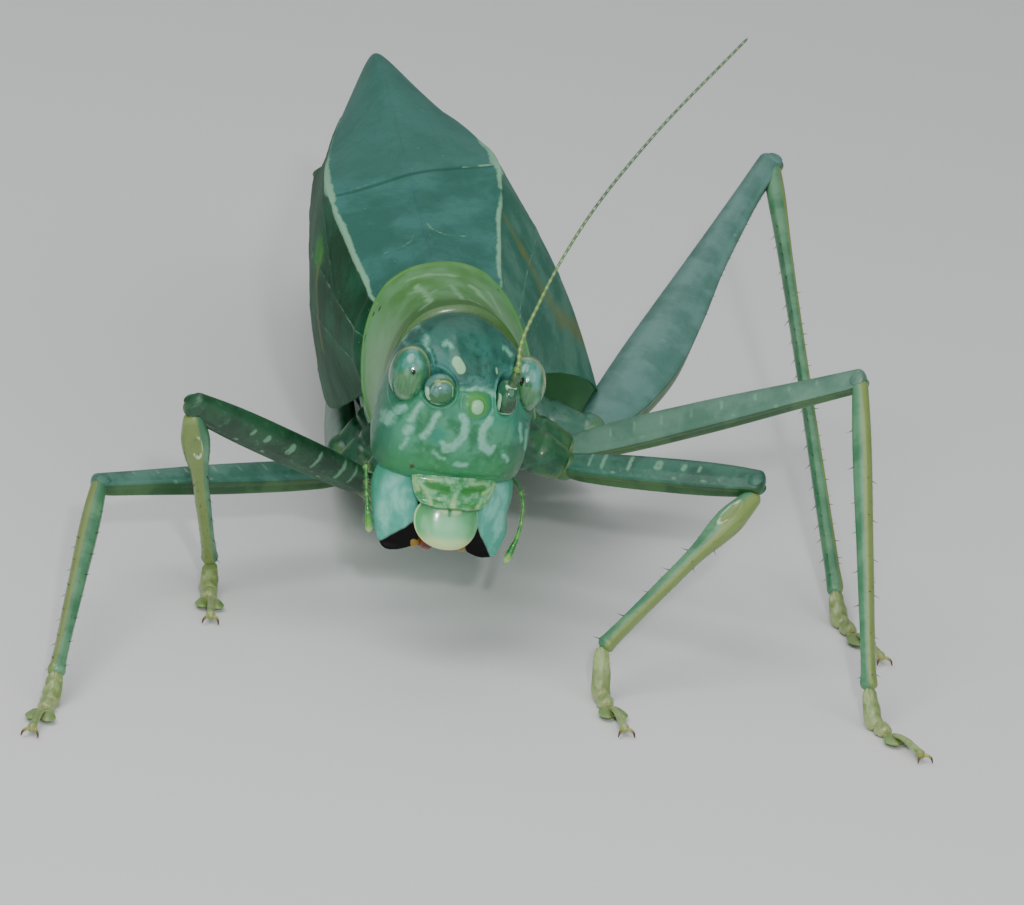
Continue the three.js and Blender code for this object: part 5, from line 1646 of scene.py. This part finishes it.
def buildLegs():
    shinSkin, hair = shinFinish(), hairFinish()
    darkCoxa = coxaFinish("front", (34, 70, 50), (58, 96, 68))
    paleCoxa = coxaFinish("rear", (72, 108, 94), (94, 126, 112))
    footSkin, clawSkin = footFinish(), clawFinish()
    random = np.random.default_rng(11)
    for name, kind, hip, knee, ankle, toe, under in legs:
        hipPlace, kneePlace, anklePlace = fromBody(hip), np.array(knee), np.array(ankle)
        toePlace = np.array([*toe, 0.0])
        leg = Surface()
        # hip joint, and the small ring between it and the thigh
        start = fromBody([hip[0] * 0.3, hip[1] - 0.3, hip[2] + 1.9])
        plane = fromBody([0, hip[1] + 5, hip[2]])
        coxa = limb(
            start, hipPlace, plane, legShape["coxa"], starts=0, ends=0.1, rows=50, columns=48,
            keels=coxaKeels
        )
        leg.add(coxa["grid"], place=coxa["place"], tone=coxa["share"], finish=3)
        own = ball((0, 0, 0), (1, 1, 1), 18, 28)
        size = 0.62 if kind != "hind" else 0.80
        ring = hipPlace + own * (size, size, size) * (1 - 0.06 * hill(own[..., 2:], 0, 0.12))
        leg.add(ring, place=ring - hipPlace, tone=0.9, finish=3)
        femurPlane = np.array(under, float) if under else anklePlace
        tibiaPlane = np.array(under, float) if under else hipPlace
        barLift = legMarks["barLift"].get(name, legMarks["usualLift"])
        thigh = buildThigh(leg, kind, hipPlace, kneePlace, femurPlane, random, barLift)
        bend = np.arccos(np.clip(unit(anklePlace - kneePlace) @ unit(toePlace - anklePlace), -1, 1))
        room = 0.05 + 0.25 * min(1 - np.cos(bend), 1)
        top = kneePlace - np.array([0, 0, legShape["drop"][kind] * 0.6])
        oliveWide = legMarks["oliveWide"].get(name, legMarks["usualWide"])
        buildShin(leg, kind, top, anklePlace, tibiaPlane, room, random, oliveWide)
        # low knee lobes on both faces of the joint
        width = legShape["femur"][kind]["width"][-1][1]
        deepHalf = legShape["femur"][kind]["depth"][-1][1] * 0.88
        for face in (-1, 1):
            lobe = kneePlace + (own[..., :1] * 0.34 - 0.06) * thigh["way"]
            lobe = lobe + (own[..., 1:2] * deepHalf * 0.7 + 0.06) * thigh["deep"]
            lobe = lobe + (face * (width - 0.11) + own[..., 2:] * 0.11) * thigh["side"]
            leg.add(lobe, place=own * 0.4 + np.array(knee), tone=0.1 + 0.3 * hill(own[..., 1], 0.8, 0.3))
        nodes = [f"{part}_{name}" for part in ("coxa", "femur", "tibia")]
        thighSkin = legFinish(name, *legShadeTint[name])
        leg.build(
            f"leg_{name}", [thighSkin, shinSkin, hair, paleCoxa if name == "hind_l" else darkCoxa],
            nodes
        )
        buildFoot(name, anklePlace, toePlace, [footSkin, clawSkin, hair], random)


# The feet.
foot = {
    "length": 5.0, "ankleHeight": 1.1, "rings": 36,
    # each joint: distance from the ankle, half width, underside and top
    "joints": [
        [[-0.12, 0.22, 0.98, 1.26], [0.08, 0.31, 0.74, 1.20], [0.36, 0.36, 0.30, 0.96],
         [0.66, 0.38, 0.02, 0.72], [0.98, 0.34, 0.0, 0.56], [1.18, 0.20, 0.12, 0.48]],
        [[1.08, 0.18, 0.12, 0.46], [1.26, 0.30, 0.03, 0.52], [1.50, 0.34, 0.0, 0.54], [1.74, 0.30, 0.0, 0.50],
         [1.90, 0.16, 0.12, 0.44]],
    ],
}


def footFinish():
    skin = Finish("footSkin", gloss=0.34, coat=0.35, glow=0.35)
    place = skin.field("place")
    cloud, fine = skin.noise(place, 1.6, 3), skin.noise(place, 5.0, 3, 0.6)
    base = skin.patches((118, 134, 92), (150, 162, 124), cloud, fine, 0.4, 0.36, 0.64)
    base = skin.mix(base, (108, 138, 90), skin.field("dark") * 0.8)
    base = skin.mix(base, (134, 112, 56), skin.field("tone") * skin.step(fine, 0.4, 0.6) * 0.7)
    return skin.paint(base, bump=fine * 0.8 + cloud * 0.4)


def clawFinish():
    skin = Finish("clawHorn", gloss=0.3, coat=0.3)
    tip = skin.step(skin.field("tone"), 0.35, 0.75)
    base = skin.mix((150, 156, 98), (66, 34, 20), tip)
    return skin.paint(base, bump=skin.noise(skin.field("place"), 4, 2))


# Two flat joints, the heart-shaped third one with its two thin lobes, then the narrow claw joint and two
# curved claws.
def buildFoot(name, ankle, toe, finishes, random):
    flatWay = (toe - ankle) * (1, 1, 0)
    stretch = np.linalg.norm(flatWay) / foot["length"]
    way = unit(flatWay)
    side = np.array([-way[1], way[0], 0])
    ground = ankle * (1, 1, 0)
    surface = Surface()
    rings, share = foot["rings"], np.linspace(0, 1, foot["rings"])

    def put(distance, across, height):
        distance, across, height = np.broadcast_arrays(distance, across, height)
        upward = height[..., None] * np.array([0, 0, 1])
        return ground + distance[..., None] * stretch * way + across[..., None] * side + upward

    for number, stations in enumerate(foot["joints"]):
        line = path(stations, rings)
        distance, half, low, high = (line[:, k][:, None] for k in range(4))
        lift = (ankle[2] - foot["ankleHeight"]) * step(1.0, 0.0, distance)
        t = share[:, None]
        full = np.sqrt(np.clip(1 - np.abs(2 * t - 1) ** 6, 0.02, 1))
        angle = np.linspace(0, 2 * np.pi, 32, endpoint=False)[None]
        upper = np.sin(angle) > 0
        # a rounded section, flat below, with a pinched waist over the pad
        middle = low + 0.45 * (high - low)
        reach = np.where(upper, high - middle, middle - low)
        rise = np.sign(np.sin(angle)) * np.abs(np.sin(angle)) ** np.where(upper, 1.0, 0.45) * full
        narrow = 1 - 0.22 * step(0.1, 0.9, np.sin(angle)) - 0.10 * hill(np.sin(angle), 0.05, 0.12)
        height = np.maximum(middle + reach * rise + lift, 0)
        across = half * np.cos(angle) * full * narrow
        lumps = ripple(distance * 2 + 0 * angle, angle * 1.2 + 0 * distance, 1.0, 51 + number)
        across = across * (1 + 0.12 * lumps)
        height = height + 0.05 * lumps * step(0.1, 0.5, height) * full
        grid = put(distance, across, height)
        place = np.stack([distance + 0 * angle, across, height], -1)
        surface.add(grid, place=place, dark=0, tone=0.9 * hill(t, 1, 0.14) + 0 * angle)
        # short hairs on the pads
        count = 26
        rows, columns = random.integers(6, 32, count), random.integers(0, 32, count)
        roots = grid[rows, columns]
        out = unit(roots - grid[rows].mean(1))
        tips = roots + (out * 0.9 + way * 0.4) * 0.09
        tips[:, 2] = np.maximum(tips[:, 2], 0.01)
        surface.add(spikes(roots, tips, np.full(count, 0.008), out * 0.0), finish=2, tone=0.3)
    # the heart: a thin leaf with two round lobes, hollowed along its middle where the claw joint lies
    t = np.linspace(0.02, np.pi - 0.02, 44)[:, None]
    angle = np.linspace(0, 2 * np.pi, 48, endpoint=False)[None]
    wide = np.sin(t) ** 0.9
    lobes = 0.20 + 0.54 * (0.5 - 0.5 * np.cos(t)) ** 0.8
    across = lobes * wide * np.cos(angle) * 1.05
    notch = 0.30 * hill(across, 0, 0.16) * step(0.5, 1.0, 0.5 - 0.5 * np.cos(t))
    distance = 1.78 + 1.44 * (0.5 - 0.5 * np.cos(t)) - notch + 0.10 * np.abs(across) * step(2.0, 3.0, t)
    dome = 0.11 * wide * np.abs(np.sin(angle)) ** 0.8
    height = 0.19 + np.where(
        np.sin(angle) > 0, dome + 0.05 * hill(np.abs(across), 0.34, 0.16), -np.minimum(dome, 0.19)
    )
    height = height - 0.06 * hill(across, 0, 0.12) * (np.sin(angle) > 0)
    grid = put(distance, across, np.maximum(height, 0))
    place = np.stack([distance, across, height], -1)
    surface.add(grid, place=place, dark=step(0.2, 0.6, np.abs(across)) * 0.7, tone=0.5 * hill(across, 0, 0.1))
    # the claw joint
    line = path([[2.40, 0.30], [2.95, 0.40], [3.6, 0.40], [4.3, 0.32], [4.72, 0.24]], rings)
    points = put(line[:, 0], np.zeros(rings), line[:, 1])
    radius = through([[0, 0.10], [0.3, 0.115], [0.8, 0.15], [0.95, 0.165], [1, 0.08]], share)
    grid = tube(points, radius, radius, 18)
    surface.add(
        grid, place=grid - points[0], dark=0, tone=0.5 * hill(share, 0.97, 0.06)[:, None]
    )
    for face in (-1, 1):
        line = path([[4.60, 0.05, 0.26], [4.76, 0.15, 0.30], [4.90, 0.27, 0.24], [4.97, 0.33, 0.05]], 24)
        points = put(line[:, 0], face * line[:, 1], line[:, 2])
        t = np.linspace(0, 1, 24)
        radius = 0.07 * (1 - t) ** 0.6 + 0.012
        grid = tube(points, radius, radius, 12)
        surface.add(grid, place=grid - points[0], tone=t[:, None] + 0 * grid[..., 0], finish=1)
    surface.build(f"foot_{name}", finishes, [f"tarsus_{name}"])


# The camera, the lamps and the floor.
studio = {
    "target": (3.77, 8.0, 5.6), "distance": 285.0, "lens": 245.5,
    "right": (0.98756, -0.10487, 0.11715), "up": (-0.08261, 0.28788, 0.95410),
    "back": (-0.13378, -0.95191, 0.27564),
    "skyColour": (0.93, 0.97, 0.97, 1), "skyStrength": 0.26, "floorReach": 3.0, "floorHeight": -0.00002,
}


def buildStudio():
    floorMesh = bpy.data.meshes.new("floor")
    reach, low = studio["floorReach"], studio["floorHeight"]
    corners = [(-reach, -reach, low), (reach, -reach, low), (reach, reach, low), (-reach, reach, low)]
    floorMesh.from_pydata(corners, [], [(0, 1, 2, 3)])
    finish = Finish("floorPaint", gloss=0.7)
    cloud = finish.noise(finish.make("TexCoord", output="Object"), 2.0, 2)
    finish.paint(finish.mix((228, 229, 229), (234, 235, 234), cloud))
    floorMesh.materials.append(finish.material)
    floor = bpy.data.objects.new("floor", floorMesh)
    bpy.context.scene.collection.objects.link(floor)

    world = bpy.data.worlds.new("studio")
    world.use_nodes = True
    world.node_tree.nodes["Background"].inputs["Color"].default_value = studio["skyColour"]
    world.node_tree.nodes["Background"].inputs["Strength"].default_value = studio["skyStrength"]
    bpy.context.scene.world = world

    back, right, up = (np.array(studio[name]) for name in ("back", "right", "up"))
    target = (np.array(studio["target"]) + shift) / 1000
    lamps = [  # name, sideways, up and towards the camera in metres, size, power
        ("keyLamp", -0.08, 0.30, 0.26, 0.30, 0.80), ("fillLamp", 0.20, 0.10, 0.30, 0.30, 0.32),
        ("topLamp", 0.02, 0.36, -0.06, 0.30, 0.18), ("lowLamp", -0.16, -0.04, 0.30, 0.20, 0.22),
        ("glintLamp", 0.022, 0.030, 0.30, 0.010, 0.30),
    ]
    for name, sideways, high, near, size, power in lamps:
        data = bpy.data.lights.new(name, "AREA")
        data.shape, data.size, data.energy = "DISK", size, power
        lamp = bpy.data.objects.new(name, data)
        place = target + right * sideways + up * high + back * near
        aim = unit(place - target)
        lamp.location = place
        lamp.rotation_euler = Matrix(orient(aim)).to_euler()
        bpy.context.scene.collection.objects.link(lamp)

    data = bpy.data.cameras.new("camera")
    data.lens, data.sensor_width = studio["lens"], 36.0
    data.clip_start, data.clip_end = 0.01, 20
    camera = bpy.data.objects.new("camera", data)
    place = target + back * studio["distance"] / 1000
    stand = np.eye(4)
    stand[:3, :3] = np.stack([right, up, back], 1)
    stand[:3, 3] = place
    camera.matrix_world = Matrix(stand.tolist())
    bpy.context.scene.collection.objects.link(camera)
    bpy.context.scene.camera = camera


def orient(back):  # a frame whose third axis is the given one, as rows
    right = unit(np.cross(np.array([0, 0, 1.0]), back))
    up = np.cross(back, right)
    return np.stack([right, up, back], 1).tolist()


buildHead()
buildEyes()
buildFeelers()
buildClypeus()
buildLabrum()
buildJaws()
buildInnerMouth()
buildPalps()
buildCollar()
buildTrunk()
buildTail()
buildWings()
buildHindWings()
buildLegs()
buildStudio()
